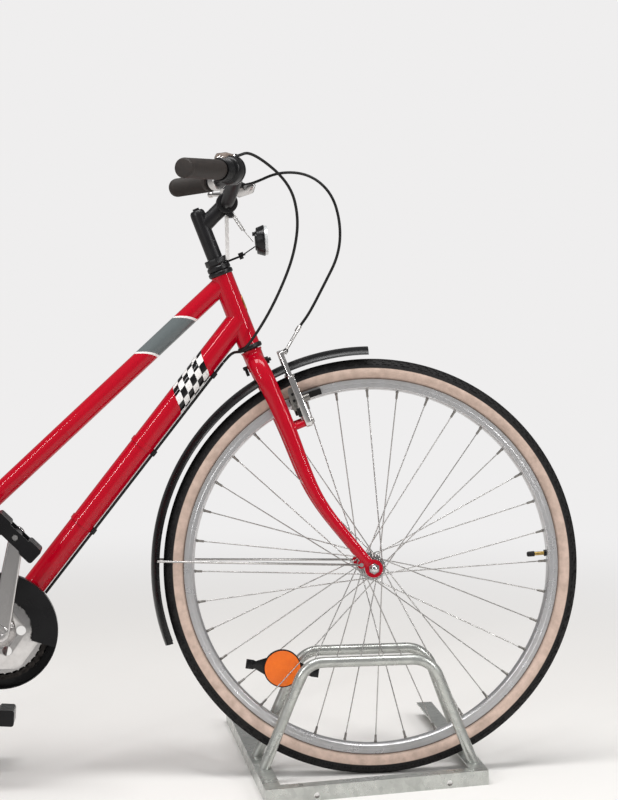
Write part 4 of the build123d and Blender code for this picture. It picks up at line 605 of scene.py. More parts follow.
def around(tree: bpy.types.NodeTree, spot: bpy.types.NodeSocket) -> tuple[bpy.types.NodeSocket, ...]:
    """Radius, angle and height round the Z axis of a spot's coordinates.

    Args:
        tree: The node tree.
        spot: The coordinates.

    Returns:
        The three outputs.
    """
    parts = add_node(tree, "ShaderNodeSeparateXYZ", None, {"Vector": spot})
    flat = add_node(tree, "ShaderNodeCombineXYZ", None, {"X": parts.outputs["X"], "Y": parts.outputs["Y"]})
    radius = add_node(tree, "ShaderNodeVectorMath", {"operation": "LENGTH"}, {0: flat.outputs["Vector"]})
    angle = add_node(
        tree, "ShaderNodeMath", {"operation": "ARCTAN2"}, {0: parts.outputs["Y"], 1: parts.outputs["X"]}
    )
    return radius.outputs["Value"], angle.outputs["Value"], parts.outputs["Z"]


@dataclass(frozen=True)
class TyreRubber(Finish):
    """Black tread rubber over a tan skinwall, with painted shade near the bead where the rim's edge meets the
    tyre.
    """

    wall: str = "D0B8AA"
    wall_dark: str = "A08B7D"
    # Painted shade: this dark colour, laid on the skinwall from 316.5 to 320 mm out, stands for the shadow in
    # the gap between tyre and rim
    bead_shade: str = "2E2520"
    wheel: Matrix = field(default_factory=Matrix)
    edge_mm: float = 334.5
    edge_soft_mm: float = 0.5
    bead_shade_from_mm: float = 316.5
    bead_shade_to_mm: float = 320.0
    bead_shade_share: float = 0.75

    def colour(self, tree: bpy.types.NodeTree, place: bpy.types.NodeSocket) -> bpy.types.NodeSocket:
        """Black outside the tread's edge, mottled tan inside it, darkened near the bead by painted shade.

        Args:
            tree: The node tree.
            place: The surface's own coordinates.

        Returns:
            The colour.
        """
        radius, _, _ = around(tree, centred(tree, place, self.wheel))
        black = self.blotches(tree, place, linear(self.color), linear(self.second))
        tan = self.blotches(tree, place, linear(self.wall), linear(self.wall_dark))
        edge = add_node(
            tree, "ShaderNodeMapRange", None,
            {"Value": radius, "From Min": (self.edge_mm - self.edge_soft_mm) * MM,
             "From Max": (self.edge_mm + self.edge_soft_mm) * MM},
        )
        # Painted shade: the tan turns dark towards the bead, where the rim's edge shades the tyre
        bead_shade = add_node(
            tree, "ShaderNodeMapRange", None,
            {"Value": radius, "From Min": self.bead_shade_from_mm * MM, "From Max": self.bead_shade_to_mm * MM,
             "To Min": self.bead_shade_share, "To Max": 0.0},
        )
        bead_shaded = add_node(
            tree, "ShaderNodeMix", {"data_type": "RGBA"},
            {"Factor": bead_shade.outputs["Result"], "A": tan, "B": linear(self.bead_shade)},
        )
        mixed = add_node(
            tree, "ShaderNodeMix", {"data_type": "RGBA"},
            {"Factor": edge.outputs["Result"], "A": bead_shaded.outputs[2], "B": black},
        )
        return mixed.outputs[2]


@dataclass(frozen=True)
class TurnedMetal(Finish):
    """Metal with the fine rings that a lathe or a brake pad leaves round an axis."""

    wheel: Matrix = field(default_factory=Matrix)
    ring_mm: float = 1.6

    def relief(self, tree: bpy.types.NodeTree, place: bpy.types.NodeSocket) -> bpy.types.NodeSocket:
        """Rings round the axis as height.

        Args:
            tree: The node tree.
            place: The surface's own coordinates.

        Returns:
            The height.
        """
        radius, _, _ = around(tree, centred(tree, place, self.wheel))
        rings = add_node(
            tree, "ShaderNodeMath", {"operation": "MULTIPLY"},
            {0: radius, 1: 2 * math.pi / (self.ring_mm * MM)},
        )
        wave = add_node(tree, "ShaderNodeMath", {"operation": "SINE"}, {0: rings.outputs["Value"]})
        return wave.outputs["Value"]


@dataclass(frozen=True)
class Galvanised(Finish):
    """Hot-dip zinc: pale spangle in grey-green steel, with scuffs."""

    spangle: str = "D9DCD6"
    spangle_mm: float = 9.0
    spangle_share: float = 0.35

    def colour(self, tree: bpy.types.NodeTree, place: bpy.types.NodeSocket) -> bpy.types.NodeSocket:
        """Zinc crystals of slightly different greys.

        Args:
            tree: The node tree.
            place: The surface's own coordinates.

        Returns:
            The colour.
        """
        cells = add_node(
            tree, "ShaderNodeTexVoronoi", None,
            {"Vector": place, "Scale": 1 / (self.spangle_mm * MM), "Randomness": 1.0}
        )
        grey = add_node(tree, "ShaderNodeSeparateColor", None, {"Color": cells.outputs["Color"]})
        share = add_node(
            tree, "ShaderNodeMapRange", None,
            {"Value": grey.outputs["Red"], "To Min": 0.0, "To Max": self.spangle_share}
        )
        base = self.blotches(tree, place, linear(self.color), linear(self.second))
        mixed = add_node(
            tree, "ShaderNodeMix", {"data_type": "RGBA"},
            {"Factor": share.outputs["Result"], "A": base, "B": linear(self.spangle)},
        )
        return mixed.outputs[2]


@dataclass(frozen=True)
class Prisms(Finish):
    """Moulded reflector plastic with rows of small prisms under a clear face."""

    pitch_mm: float = 3.0

    def relief(self, tree: bpy.types.NodeTree, place: bpy.types.NodeSocket) -> bpy.types.NodeSocket:
        """Cells as height."""
        cells = add_node(tree, "ShaderNodeTexVoronoi", {"distance": "MANHATTAN"},
                         {"Vector": place, "Scale": 1 / (self.pitch_mm * MM), "Randomness": 0.0})
        return cells.outputs["Distance"]


@dataclass(frozen=True)
class Enamel(Finish):
    """Red gloss enamel with a painted band on the top tube and a chequered band on the down tube."""

    top_tube: Matrix = field(default_factory=Matrix)
    down_tube: Matrix = field(default_factory=Matrix)
    band_edge: str = "EDEBE8"
    band_grey: str = "636A6B"
    band_ends_mm: tuple[float, float] = (84.0, 176.0)
    band_edge_mm: float = 4.5
    band_slope: float = -0.79
    band_bow: float = -17.4
    band_reach_mm: float = 19.0
    white: str = "F2F0EE"
    black: str = "141315"
    square_mm: float = 12.8
    square_rows: tuple[int, int] = (6, 12)
    square_slope: float = 0.557
    square_girth_mm: float = 20.0
    square_reach_mm: float = 24.0

    def colour(self, tree: bpy.types.NodeTree, place: bpy.types.NodeSocket) -> bpy.types.NodeSocket:
        """Red, with both bands where they lie along their tubes.

        Args:
            tree: The node tree.
            place: The surface's own coordinates.

        Returns:
            The colour.
        """
        red = super().colour(tree, place)
        band = self.band(tree, place)
        grey = add_node(
            tree, "ShaderNodeMix", {"data_type": "RGBA"},
            {"Factor": band[0], "A": red, "B": linear(self.band_edge)}
        )
        grey = add_node(
            tree, "ShaderNodeMix", {"data_type": "RGBA"},
            {"Factor": band[1], "A": grey.outputs[2], "B": linear(self.band_grey)}
        )
        inside, dark = self.chequer(tree, place)
        squares = add_node(
            tree, "ShaderNodeMix", {"data_type": "RGBA"},
            {"Factor": dark, "A": linear(self.white), "B": linear(self.black)}
        )
        mixed = add_node(
            tree, "ShaderNodeMix", {"data_type": "RGBA"},
            {"Factor": inside, "A": grey.outputs[2], "B": squares.outputs[2]},
        )
        return mixed.outputs[2]

    def between(
        self, tree: bpy.types.NodeTree, value: bpy.types.NodeSocket, low: float | bpy.types.NodeSocket,
        high: float | bpy.types.NodeSocket
    ) -> bpy.types.NodeSocket:
        """One where a value lies between two limits, else nought.

        Args:
            tree: The node tree.
            value: The value.
            low: The lower limit.
            high: The upper limit.

        Returns:
            The mask.
        """
        over = add_node(tree, "ShaderNodeMath", {"operation": "GREATER_THAN"}, {0: value, 1: low})
        under = add_node(tree, "ShaderNodeMath", {"operation": "LESS_THAN"}, {0: value, 1: high})
        both = add_node(
            tree, "ShaderNodeMath", {"operation": "MULTIPLY"},
            {0: over.outputs["Value"], 1: under.outputs["Value"]}
        )
        return both.outputs["Value"]

    def slanted(self, tree: bpy.types.NodeTree, along: bpy.types.NodeSocket, spot_y: bpy.types.NodeSocket,
                slope: float) -> bpy.types.NodeSocket:
        """Distance along a tube, slanted by the height on its side.

        Args:
            tree: The node tree.
            along: The distance along the tube.
            spot_y: The height on the tube's side.
            slope: How far the line moves along for each step of height.

        Returns:
            The slanted distance.
        """
        shift = add_node(tree, "ShaderNodeMath", {"operation": "MULTIPLY"}, {0: spot_y, 1: slope})
        moved = add_node(tree, "ShaderNodeMath", {"operation": "ADD"}, {0: along, 1: shift.outputs["Value"]})
        return moved.outputs["Value"]

    def band(self, tree: bpy.types.NodeTree, place: bpy.types.NodeSocket) -> tuple[bpy.types.NodeSocket, ...]:
        """Masks of the grey band with its white edges, and of the grey alone.

        Args:
            tree: The node tree.
            place: The surface's own coordinates.

        Returns:
            Both masks.
        """
        spot = centred(tree, place, self.top_tube)
        radius, _, along = around(tree, spot)
        parts = add_node(tree, "ShaderNodeSeparateXYZ", None, {"Vector": spot})
        bow = add_node(tree, "ShaderNodeMath", {"operation": "POWER"}, {0: parts.outputs["X"], 1: 2.0})
        curved = self.slanted(tree, along, bow.outputs["Value"], self.band_bow)
        near = add_node(
            tree, "ShaderNodeMath", {"operation": "LESS_THAN"}, {0: radius, 1: self.band_reach_mm * MM}
        )
        masks = []
        low, high = self.band_ends_mm
        for inset in (0.0, self.band_edge_mm):
            slant = self.slanted(tree, curved, parts.outputs["X"], self.band_slope)
            inside = self.between(tree, slant, (low + inset) * MM, (high - inset) * MM)
            mask = add_node(
                tree, "ShaderNodeMath", {"operation": "MULTIPLY"}, {0: inside, 1: near.outputs["Value"]}
            )
            masks.append(mask.outputs["Value"])
        return tuple(masks)

    def chequer(
        self, tree: bpy.types.NodeTree, place: bpy.types.NodeSocket
    ) -> tuple[bpy.types.NodeSocket, ...]:
        """Masks of the chequered band and of its black squares.

        Args:
            tree: The node tree.
            place: The surface's own coordinates.

        Returns:
            Both masks.
        """
        spot = centred(tree, place, self.down_tube)
        radius, angle, along = around(tree, spot)
        girth = add_node(
            tree, "ShaderNodeMath", {"operation": "MULTIPLY"}, {0: angle, 1: self.square_girth_mm * MM}
        )
        slant = self.slanted(tree, along, girth.outputs["Value"], self.square_slope)
        square = self.square_mm * MM
        cells = []
        for value in (slant, girth.outputs["Value"]):
            scaled = add_node(tree, "ShaderNodeMath", {"operation": "DIVIDE"}, {0: value, 1: square})
            floor = add_node(tree, "ShaderNodeMath", {"operation": "FLOOR"}, {0: scaled.outputs["Value"]})
            cells.append(floor.outputs["Value"])
        both = add_node(tree, "ShaderNodeMath", {"operation": "ADD"}, {0: cells[0], 1: cells[1]})
        dark = add_node(
            tree, "ShaderNodeMath", {"operation": "FLOORED_MODULO"}, {0: both.outputs["Value"], 1: 2.0}
        )
        near = add_node(
            tree, "ShaderNodeMath", {"operation": "LESS_THAN"}, {0: radius, 1: self.square_reach_mm * MM}
        )
        first, last = self.square_rows
        inside = self.between(tree, slant, first * square, last * square)
        mask = add_node(
            tree, "ShaderNodeMath", {"operation": "MULTIPLY"}, {0: inside, 1: near.outputs["Value"]}
        )
        return mask.outputs["Value"], dark.outputs["Value"]


@dataclass
class Bench:
    """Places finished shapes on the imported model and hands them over."""

    frame: dict
    bicycle: Matrix = field(default_factory=Matrix)
    floor: Matrix = field(default_factory=Matrix)
    finishes: dict[str, bpy.types.Material] = field(default_factory=dict)
    slots: dict[str, str] = field(default_factory=dict)

    def __post_init__(self) -> None:
        """Finds where the bicycle stands from the front axle's box."""
        low, high = (Vector(corner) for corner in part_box("front_axle"))
        middle = (low + high) / 2
        rise = (FRONT_HUB.z - STAND_LINE) * MM
        shift = Vector((middle.x, middle.y - rise * math.sin(LEAN), 0.0))
        self.floor = Matrix.Translation(shift) @ Matrix.Scale(MM, 4)
        tilt = Matrix.Rotation(-LEAN, 4, "X")
        line = Matrix.Translation((0.0, 0.0, STAND_LINE))
        self.bicycle = self.floor @ line @ tilt @ line.inverted()

    def spot(self, place: Matrix) -> Matrix:
        """A place of the upright bicycle as an unscaled place of the row frame."""
        seen = self.bicycle @ place
        return Matrix.LocRotScale(seen.translation, seen.to_quaternion(), None)

    def mesh_piece(self, name: str, bm: bmesh.types.BMesh, finish: str, sharp: float) -> bpy.types.Object:
        """Makes a smooth-shaded object of a form, which is used up.

        Args:
            name: The piece's name.
            bm: The form, in metres in the row frame.
            finish: The name of its finish.
            sharp: The angle over which an edge is drawn sharp, in degrees.

        Returns:
            The object.
        """
        for face in bm.faces:
            face.smooth = True
        mesh = bpy.data.meshes.new(name)
        bm.to_mesh(mesh)
        bm.free()
        mesh.set_sharp_from_angle(angle=math.radians(sharp))
        mesh.materials.append(self.finishes[finish])
        piece = bpy.data.objects.new(name, mesh)
        bpy.context.scene.collection.objects.link(piece)
        LOG.info("%s: %d faces", name, len(mesh.polygons))
        return piece

    def add(self, name: str, shape: Shape, finish: str, body: str, replaces: Sequence[str] = (),
            slot: str = "", sharp: float = SHARP_DEGREES) -> bpy.types.Object:
        """Makes a piece of a shape.

        Args:
            name: The piece's name.
            shape: The shape, which is used up.
            finish: The name of its finish.
            body: The body that it moves with, none to leave it unattached.
            replaces: The solids that it stands for.
            slot: The material slot of the record that it belongs to; not used.
            sharp: The angle over which an edge is drawn sharp, in degrees.

        Returns:
            The piece.
        """
        bm = shape.bm
        bmesh.ops.remove_doubles(bm, verts=bm.verts, dist=WELD_MM)
        bmesh.ops.transform(bm, matrix=self.bicycle, verts=bm.verts)
        bmesh.ops.recalc_face_normals(bm, faces=bm.faces)
        piece = self.mesh_piece(name, bm, finish, sharp)
        if body:
            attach(piece, body)
        if replaces:
            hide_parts(*replaces)
        return piece

    def carry(self, node: str, finish: str, body: str, soft: float = 0.0) -> bpy.types.Object:
        """A smooth-shaded copy of a solid whose shape is right.

        Args:
            node: The solid.
            finish: The name of its finish.
            body: The body that it moves with.
            soft: Width of rounded edges in millimetres, none at nought.

        Returns:
            The piece.
        """
        bm = bmesh.new()
        bm.from_mesh(self.frame["nodes"][node].data)
        bmesh.ops.remove_doubles(bm, verts=bm.verts, dist=WELD_MM * MM)
        bmesh.ops.dissolve_limit(
            bm, angle_limit=math.radians(COPLANAR_DEGREES), verts=bm.verts, edges=bm.edges
        )
        piece = self.mesh_piece(node + "_finished", bm, finish, SHARP_DEGREES)
        if node in TUBES:
            self.round_off(piece.data, *TUBES[node])
        if soft > 0:
            edge = piece.modifiers.new("soft_edges", "BEVEL")
            edge.width = soft * MM
            edge.segments = 2
            edge.limit_method = "ANGLE"
            edge.angle_limit = math.radians(ROUNDED_OVER_DEGREES)
        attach(piece, body)
        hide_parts(node)
        return piece

    def round_off(self, mesh: bpy.types.Mesh, start: Vector, end: Vector) -> None:
        """Shades a straight tube's wall as truly round.

        Args:
            mesh: The tube's mesh.
            start: A point of the tube's axis.
            end: Another one.
        """
        foot = self.bicycle @ start
        axis = (self.bicycle @ end - foot).normalized()
        normals = [Vector(corner.vector) for corner in mesh.corner_normals]
        for face in mesh.polygons:
            reach = face.center - foot
            wall = (reach - axis * reach.dot(axis)).normalized()
            if face.normal.dot(wall) < TUBE_WALL_DOT:
                continue
            for corner in face.loop_indices:
                spoke = mesh.vertices[mesh.loops[corner].vertex_index].co - foot
                normals[corner] = (spoke - axis * spoke.dot(axis)).normalized()
        mesh.normals_split_custom_set(normals)


@dataclass
class Wheel:
    """A spoked wheel: tyre, rim, spokes, hub and valve."""

    hub: Vector
    prefix: str
    body: str
    tyre_finish: str
    rim_finish: str
    hole_r: float
    flange_r: float
    flange_y: float
    bed_r: float = 298.0
    spokes_a_side: int = 18
    crossings: int = 3
    spoke_r: float = 1.0
    button_r: float = 1.9
    button_out: float = 2.6
    flange_half: float = 1.5
    elbow_stand: float = 1.2
    bed_sink: float = 0.3
    drilled_aside: float = 2.6
    nipple_length: float = 13.0
    tyre_centre: float = 331.6
    tyre_half: float = 18.4
    tyre_spread: float = 148.0
    tread_columns: int = 26
    tread_steps: int = 416
    tread_from_r: float = 331.0
    tread_lean: float = 70.0
    groove_inset: float = 0.35
    groove_depth: float = 0.9

    def place(self) -> Matrix:
        """The wheel's own place, its Z axis along the axle to the left."""
        return aim(self.hub, LEFT, FORWARD)

    def tyre(self, bench: Bench) -> None:
        """The tyre, its tread cut in fine chevrons.

        Args:
            bench: Where the finished pieces go.
        """
        centre, half, columns, steps = self.tyre_centre, self.tyre_half, self.tread_columns, self.tread_steps
        spread = math.radians(self.tyre_spread)
        outside = [spread * (1 - 2 * index / columns) for index in range(columns + 1)]
        profile = [(centre + half * math.cos(turn), half * math.sin(turn)) for turn in outside]
        profile += [(309.0, -9.4), (309.0, 9.4)]
        shape = Shape().turn(profile, self.place(), steps=steps)
        grooves = []
        for face in shape.bm.faces:
            middle = face.calc_center_median() - self.hub
            reach = math.hypot(middle.x, middle.z)
            lean = math.atan2(middle.y, reach - centre)
            if reach < self.tread_from_r or abs(lean) > math.radians(self.tread_lean):
                continue
            step = round(math.atan2(middle.z, middle.x) / (2 * math.pi) * steps)
            column = round(abs(lean) / (2 * spread / columns) - 0.5)
            if (step + column) % 3 == 0 or (column in (2, 5) and step % 2 == 0):
                grooves.append(face)
        cut = bmesh.ops.inset_individual(
            shape.bm, faces=grooves, thickness=self.groove_inset, depth=-self.groove_depth,
            use_even_offset=True
        )
        LOG.info("%s tread: %d grooves, %d walls", self.prefix, len(grooves), len(cut["faces"]))
        bench.add(f"{self.prefix}_tyre_tread", shape, self.tyre_finish, self.body,
                  (f"{self.prefix}_tyre",), sharp=50.0)

    def rim(self, bench: Bench) -> None:
        """The rim: rolled lips, braking sides with a wear line, and a rounded bed.

        Args:
            bench: Where the finished pieces go.
        """
        side = [(316.0, 10.6), (316.3, 11.4), (315.6, 12.0), (309.5, 12.0), (309.0, 11.7), (308.5, 12.0),
                (302.6, 12.0), (301.4, 11.2), (299.6, 8.4), (298.4, 5.6), (298.0, 2.8)]
        profile = [*side, (297.9, 0.0)]
        profile += [(radius, -across) for radius, across in reversed(side)]
        profile += [(308.9, -10.4), (308.9, 10.4)]
        bench.add(
            f"{self.prefix}_rim_extrusion", Shape().turn(profile, self.place(), steps=192), self.rim_finish,
            self.body, (f"{self.prefix}_rim",), sharp=24.0
        )

    def spokes(self, bench: Bench) -> None:
        """Round spokes with elbows at the flange and nipples at the rim.

        Args:
            bench: Where the finished pieces go.
        """
        wires, nipples = Shape(), Shape()
        step = 2 * math.pi / self.spokes_a_side
        edge_drop = math.sqrt(self.flange_r**2 - self.hole_r**2) * self.flange_y / self.bed_r
        for side in (1, -1):
            for hole in range(self.spokes_a_side):
                lead = 1 if hole % 2 else -1
                start_turn = hole * step + (step / 2 if side < 0 else 0.0)
                end_turn = start_turn + lead * self.crossings * step
                head = self.flange_half + self.elbow_stand + (edge_drop if lead > 0 else 0.0)
                hole_at = self.hub + Vector(
                    (self.hole_r * math.cos(start_turn), 0.0, self.hole_r * math.sin(start_turn))
                )
                start = hole_at + LEFT * side * (self.flange_y + lead * head)
                seat_at = radial(end_turn) * (self.bed_r - self.bed_sink)
                end = self.hub + seat_at + LEFT * side * self.drilled_aside
                run = (end - start).normalized()
                button = hole_at + LEFT * side * (self.flange_y - lead * self.button_out)
                elbow = [button, hole_at + LEFT * side * self.flange_y, start, start + run * 3.0]
                wires.pipe([*elbow, end - run * self.nipple_length], self.spoke_r, segments=8)
                wires.ball(button, self.button_r, detail=8)
                nipples.pipe(
                    [end - run * self.nipple_length, end - run * 12.2, end - run * 3.0, end - run * 2.0, end],
                    [1.3, 1.9, 2.0, 2.6, 2.6], segments=8
                )
        bench.add(f"{self.prefix}_spoke_wires", wires, "stainless", self.body,
                  (f"{self.prefix}_spokes",), sharp=60.0)
        bench.add(f"{self.prefix}_spoke_nipples", nipples, "nickel", self.body, sharp=40.0)

    def valve(self, bench: Bench, angle: float) -> None:
        """A car-type valve with its cap, through the rim's bed.

        Args:
            bench: Where the finished pieces go.
            angle: Where it is round the wheel, in degrees.
        """
        out = radial(math.radians(angle))
        foot = self.hub + out * (self.bed_r - 0.4)
        stem = Shape().bar(foot, foot - out * 20.0, 3.2, segments=20)
        bench.add(f"{self.prefix}_valve_stem", stem, "brass", self.body)
        cap = Shape().pipe(
            [foot - out * 19.0, foot - out * 20.0, foot - out * 30.0, foot - out * 32.0],
            [4.2, 4.6, 4.4, 3.0], segments=20
        )
        cap.pipe([foot, foot - out * 3.0], 5.5, segments=20)
        bench.add(f"{self.prefix}_valve_cap", cap, "black_rubber", self.body)

    def front_hub(self, bench: Bench) -> None:
        """A small-flange hub shell with its dust caps.

        Args:
            bench: Where the finished pieces go.
        """
        half = [
            (12.0, 26.0), (12.6, 29.0), (15.0, 31.6), (21.0, 32.5), (21.5, 33.0), (21.5, 35.0), (21.0, 35.5),
            (16.0, 35.7), (15.0, 37.5), (12.8, 38.4), (12.6, 42.0), (11.2, 42.5), (4.81, 42.5)
        ]
        profile = half + [(radius, -across) for radius, across in reversed(half)]
        bench.add(
            "front_hub_shell", Shape().turn(profile, self.place(), steps=72), "hub_metal", self.body,
            ("front_hub",), sharp=28.0
        )

    def reflector(
        self, bench: Bench, radius: float = 228.0, angle: float = 227.5, tilt: float = -9.0
    ) -> None:
        """The spoke reflector's holder: a rimmed disc with tapered arms clipped to the spokes.

        Args:
            bench: Where the finished pieces go.
            radius: How far from the hub's centre.
            angle: Where it is round the wheel, in degrees.
            tilt: How far it is turned in its own plane, in degrees.
        """
        middle = self.hub + radial(math.radians(angle)) * radius
        place = aim(middle, -LEFT, FORWARD) @ Matrix.Rotation(math.radians(tilt), 4, "Z")
        disc, arm = 31.5, [(46.0, -6.5), (50.0, -8.0), (62.0, -8.0), (62.0, 8.0), (50.0, 8.0), (46.0, 6.5)]
        outline = []
        for half, sign in ((0, -1), (180, 1)):
            turns = [math.radians(step) for step in range(half + 28, half + 153, 4)]
            outline += [(disc * math.cos(turn), disc * math.sin(turn)) for turn in turns]
            outline += [(sign * x, sign * y) for x, y in arm]
        shape = Shape().plate(outline, place @ Matrix.Translation((0.0, 0.0, -2.0)), 4.0, soft=0.5)
        rim = [(30.1, -3.9), (31.2, -3.9), (32.0, -3.0), (32.0, 3.0), (31.2, 3.9), (30.1, 3.9)]
        shape.turn(rim, place, steps=72)
        for side in (-1, 1):
            shape.block((9.0, 14.0, 7.0), place @ Matrix.Translation((side * 56.5, 0.0, 0.0)), soft=1.0)
        bench.add("spoke_reflector_frame", shape, "moulded_polypropylene", self.body,
                  ("spoke_reflector_holder",))
        seam = Shape()
        for face in (-3.15, 3.15):
            turned = place @ Matrix.Rotation(math.radians(52.0), 4, "Z")
            seam.block((56.0, 1.2, 0.7), turned @ Matrix.Translation((0.0, 0.0, face)), soft=0.2)
        bench.add("spoke_reflector_seam", seam, "orange_reflector", self.body)

    def build(self, bench: Bench) -> None:
        """Builds the wheel.

        Args:
            bench: Where the finished pieces go.
        """
        self.tyre(bench)
        self.rim(bench)
        self.spokes(bench)


@dataclass
class Cockpit:
    """Stem, headset nut, grips, twist shifter, brake lever and both cables."""

    clamp: Vector = field(default_factory=lambda: Vector((-228.0, 0.0, 967.0)))
    grip_length: float = 122.0
    bar_hole: float = 11.3
    cable_r: float = 2.4

    def shoulder(self, side: Side) -> Vector:
        """Where the bar turns back towards the rider."""
        return self.clamp + Vector((17.0, side.value * 118.0, 47.0))

    def along_grip(self, side: Side, distance: float) -> Vector:
        """A point of the bar's swept-back part, a distance inward from its end.

        Args:
            side: The side of the bicycle.
            distance: How far from the bar's end, in millimetres.

        Returns:
            The point.
        """
        shoulder = self.shoulder(side)
        end = shoulder + Vector((-94.0, side.value * 172.0, -4.0))
        return end + (shoulder - end).normalized() * distance

    def grip_place(self, side: Side) -> Matrix:
        """The grip's place at the bar's end, its Z axis inward along the bar."""
        end = self.along_grip(side, 0.0)
        return aim(end, self.along_grip(side, 100.0) - end, UP)

    def stem(self, bench: Bench) -> None:
        """A quill stem with its wedge bolt, round clamp and clamp bolt.

        Args:
            bench: Where the finished pieces go.
        """
        foot, top = steer(578.7), steer(665.0)
        shape = Shape().pipe(
            [foot, steer(656.0), steer(661.0), steer(664.0), top], [13.0, 13.0, 12.2, 10.0, 6.6], segments=48
        )
        shape.nut(aim(steer(664.5), STEER_UP, LEFT), 5.6, 3.6)
        shape.pipe([steer(466.0), steer(580.0)], 11.0, segments=32)
        reach = self.clamp - steer(636.0)
        shape.pipe(
            [steer(636.0), steer(636.0) + reach * 0.45, self.clamp], [12.6, 11.4, 12.0], segments=40,
            flat=1.12
        )
        rim = [
            (self.bar_hole, -21.0), (16.2, -21.0), (17.6, -19.8), (18.0, -18.0), (17.2, -12.0), (17.2, 12.0),
            (18.0, 18.0), (17.6, 19.8), (16.2, 21.0), (self.bar_hole, 21.0)
        ]
        shape.turn(rim, aim(self.clamp, LEFT, UP), steps=64)
        bench.add("stem_casting", shape, "black_satin_enamel", "front_end", ("stem",))
        bolt = Shape()
        under = self.clamp + Vector((5.0, 0.0, -20.5))
        bolt.block((13.0, 30.0, 9.0), Matrix.Translation(under), soft=2.0)
        bolt.nut(aim(under - LEFT * 15.0, -LEFT, UP), 5.4, 5.0)
        bolt.bar(under + LEFT * 15.0, under + LEFT * 20.0, 3.0, segments=20)
        bench.add("stem_clamp_bolt", bolt, "black_satin_enamel", "front_end")
        tie = Shape()
        for shift in (-2.0, 2.5):
            tie.bar(
                under + Vector((shift, -17.0, 6.0)), under + Vector((21.0 + shift, -17.0, -27.0)), 1.2,
                segments=12
            )
        tie.bar(
            under + Vector((20.0, -17.0, -25.0)), under + Vector((37.0, -17.0, -46.0)), 0.7, segments=10,
            soft=0.2
        )
        bench.add("tie_wire", tie, "stainless", "front_end")
        strip = Shape().block(
            (6.5, 0.8, 74.0), Matrix.Translation(under + Vector((-6.5, -16.0, -38.0))), soft=0.2
        )
        bench.add("clear_strip", strip, "clear_plastic", "front_end")

    def headset_nut(self, bench: Bench) -> None:
        """The upper race's ring and the eight-sided locknut.

        Args:
            bench: Where the finished pieces go.
        """
        ring = [(13.0, 556.7), (18.6, 556.7), (20.0, 558.2), (20.0, 563.4), (18.8, 565.0), (13.0, 565.0)]
        shape = Shape().turn(ring, aim(STEER_FOOT, STEER_UP, LEFT), steps=64)
        shape.nut(aim(steer(567.5), STEER_UP, LEFT), 19.6, 10.8, sides=8)
        shape.block((14.0, 30.0, 3.4), aim(steer(566.3, 31.0), STEER_UP, LEFT), soft=1.0)
        shape.nut(aim(steer(568.0, 43.0), STEER_UP, LEFT), 4.6, 4.2)
        bench.add(
            "headset_nut_faceted", shape, "black_satin_enamel", "front_end", ("headset_locknut",), sharp=20.0
        )

    def grips(self, bench: Bench) -> None:
        """Rubber grips: soft ridges on the right, close ribs on the left.

        Args:
            bench: Where the finished pieces go.
        """
        for side, pitch, deep, name in ((Side.RIGHT, 6.0, 0.35, "right"), (Side.LEFT, 3.0, 0.9, "left")):
            outline = [(0.0, -4.0), (9.0, -4.0), (14.0, -3.2), (16.0, -1.0), (16.5, 2.0)]
            at = 6.0
            while at < self.grip_length - 8.0:
                outline += [(16.5, at), (16.5 - deep, at + pitch * 0.3), (16.5 - deep, at + pitch * 0.6)]
                at += pitch
            outline += [
                (16.5, self.grip_length - 4.0), (15.6, self.grip_length), (self.bar_hole, self.grip_length),
                (self.bar_hole, 0.0), (0.0, 0.0)
            ]
            shape = Shape().turn(outline, self.grip_place(side), steps=56)
            bench.add(f"grip_{name}_ribbed", shape, "grip_rubber", "front_end", (f"grip_{name}",))

    def outlet(self) -> tuple[Vector, Vector]:
        """Where the gear cable leaves the shifter, and which way.

        Returns:
            The point and the direction.
        """
        axis = (self.along_grip(Side.RIGHT, 172.0) - self.along_grip(Side.RIGHT, 122.0)).normalized()
        upward = (UP - axis * axis.z).normalized()
        return self.along_grip(Side.RIGHT, 161.2) + upward * 18.0, Vector((0.72, 0.35, 0.28)).normalized()

    def shifter(self, bench: Bench) -> None:
        """A twist shifter: ridged collar, trim ring, housing and the smoked outlet.

        Args:
            bench: Where the finished pieces go.
        """
        outline = [(self.bar_hole, 122.3), (18.0, 122.3), (19.2, 123.4)]
        at = 125.0
        while at < 144.0:
            outline += [(19.4, at), (18.7, at + 0.8), (18.7, at + 1.9), (19.4, at + 2.6)]
            at += 3.6
        outline += [
            (20.2, 146.0), (20.2, 148.0), (21.6, 149.0), (23.6, 151.4), (24.0, 154.0), (24.0, 166.0),
            (23.2, 169.6), (20.8, 172.0), (self.bar_hole, 172.0)
        ]
        shape = Shape().turn(outline, self.grip_place(Side.RIGHT), steps=72)
        bench.add("twist_shifter_body", shape, "moulded_polypropylene", "front_end", ("twist_shifter",))
        trim = Shape().turn(
            [(20.0, 170.6), (24.4, 170.6), (24.4, 172.2), (20.0, 172.4)], self.grip_place(Side.RIGHT)
        )
        start, run = self.outlet()
        ring = [start + run * 7.2, start + run * 7.8, start + run * 9.4, start + run * 10.0]
        trim.pipe(ring, [5.2, 5.9, 5.9, 5.2])
        bench.add("shifter_trim_rings", trim, "chrome_plate", "front_end", slot="polished_aluminium")
        cone = Shape().pipe(
            [
                start - run * 26.0 + UP * 8.0, start - run * 22.0 + UP * 7.5, start - run * 6.0 + UP * 4.0,
                start + run * 7.4
            ],
            [5.0, 9.2, 9.4, 5.6]
        )
        bench.add("shifter_outlet", cone, "smoked_plastic", "front_end")
        ferrule = Shape().pipe([start + run * 9.6, start + run * 15.0, start + run * 15.2], [4.6, 4.2, 3.4])
        bench.add("gear_cable_ferrule", ferrule, "black_rubber", "front_end")

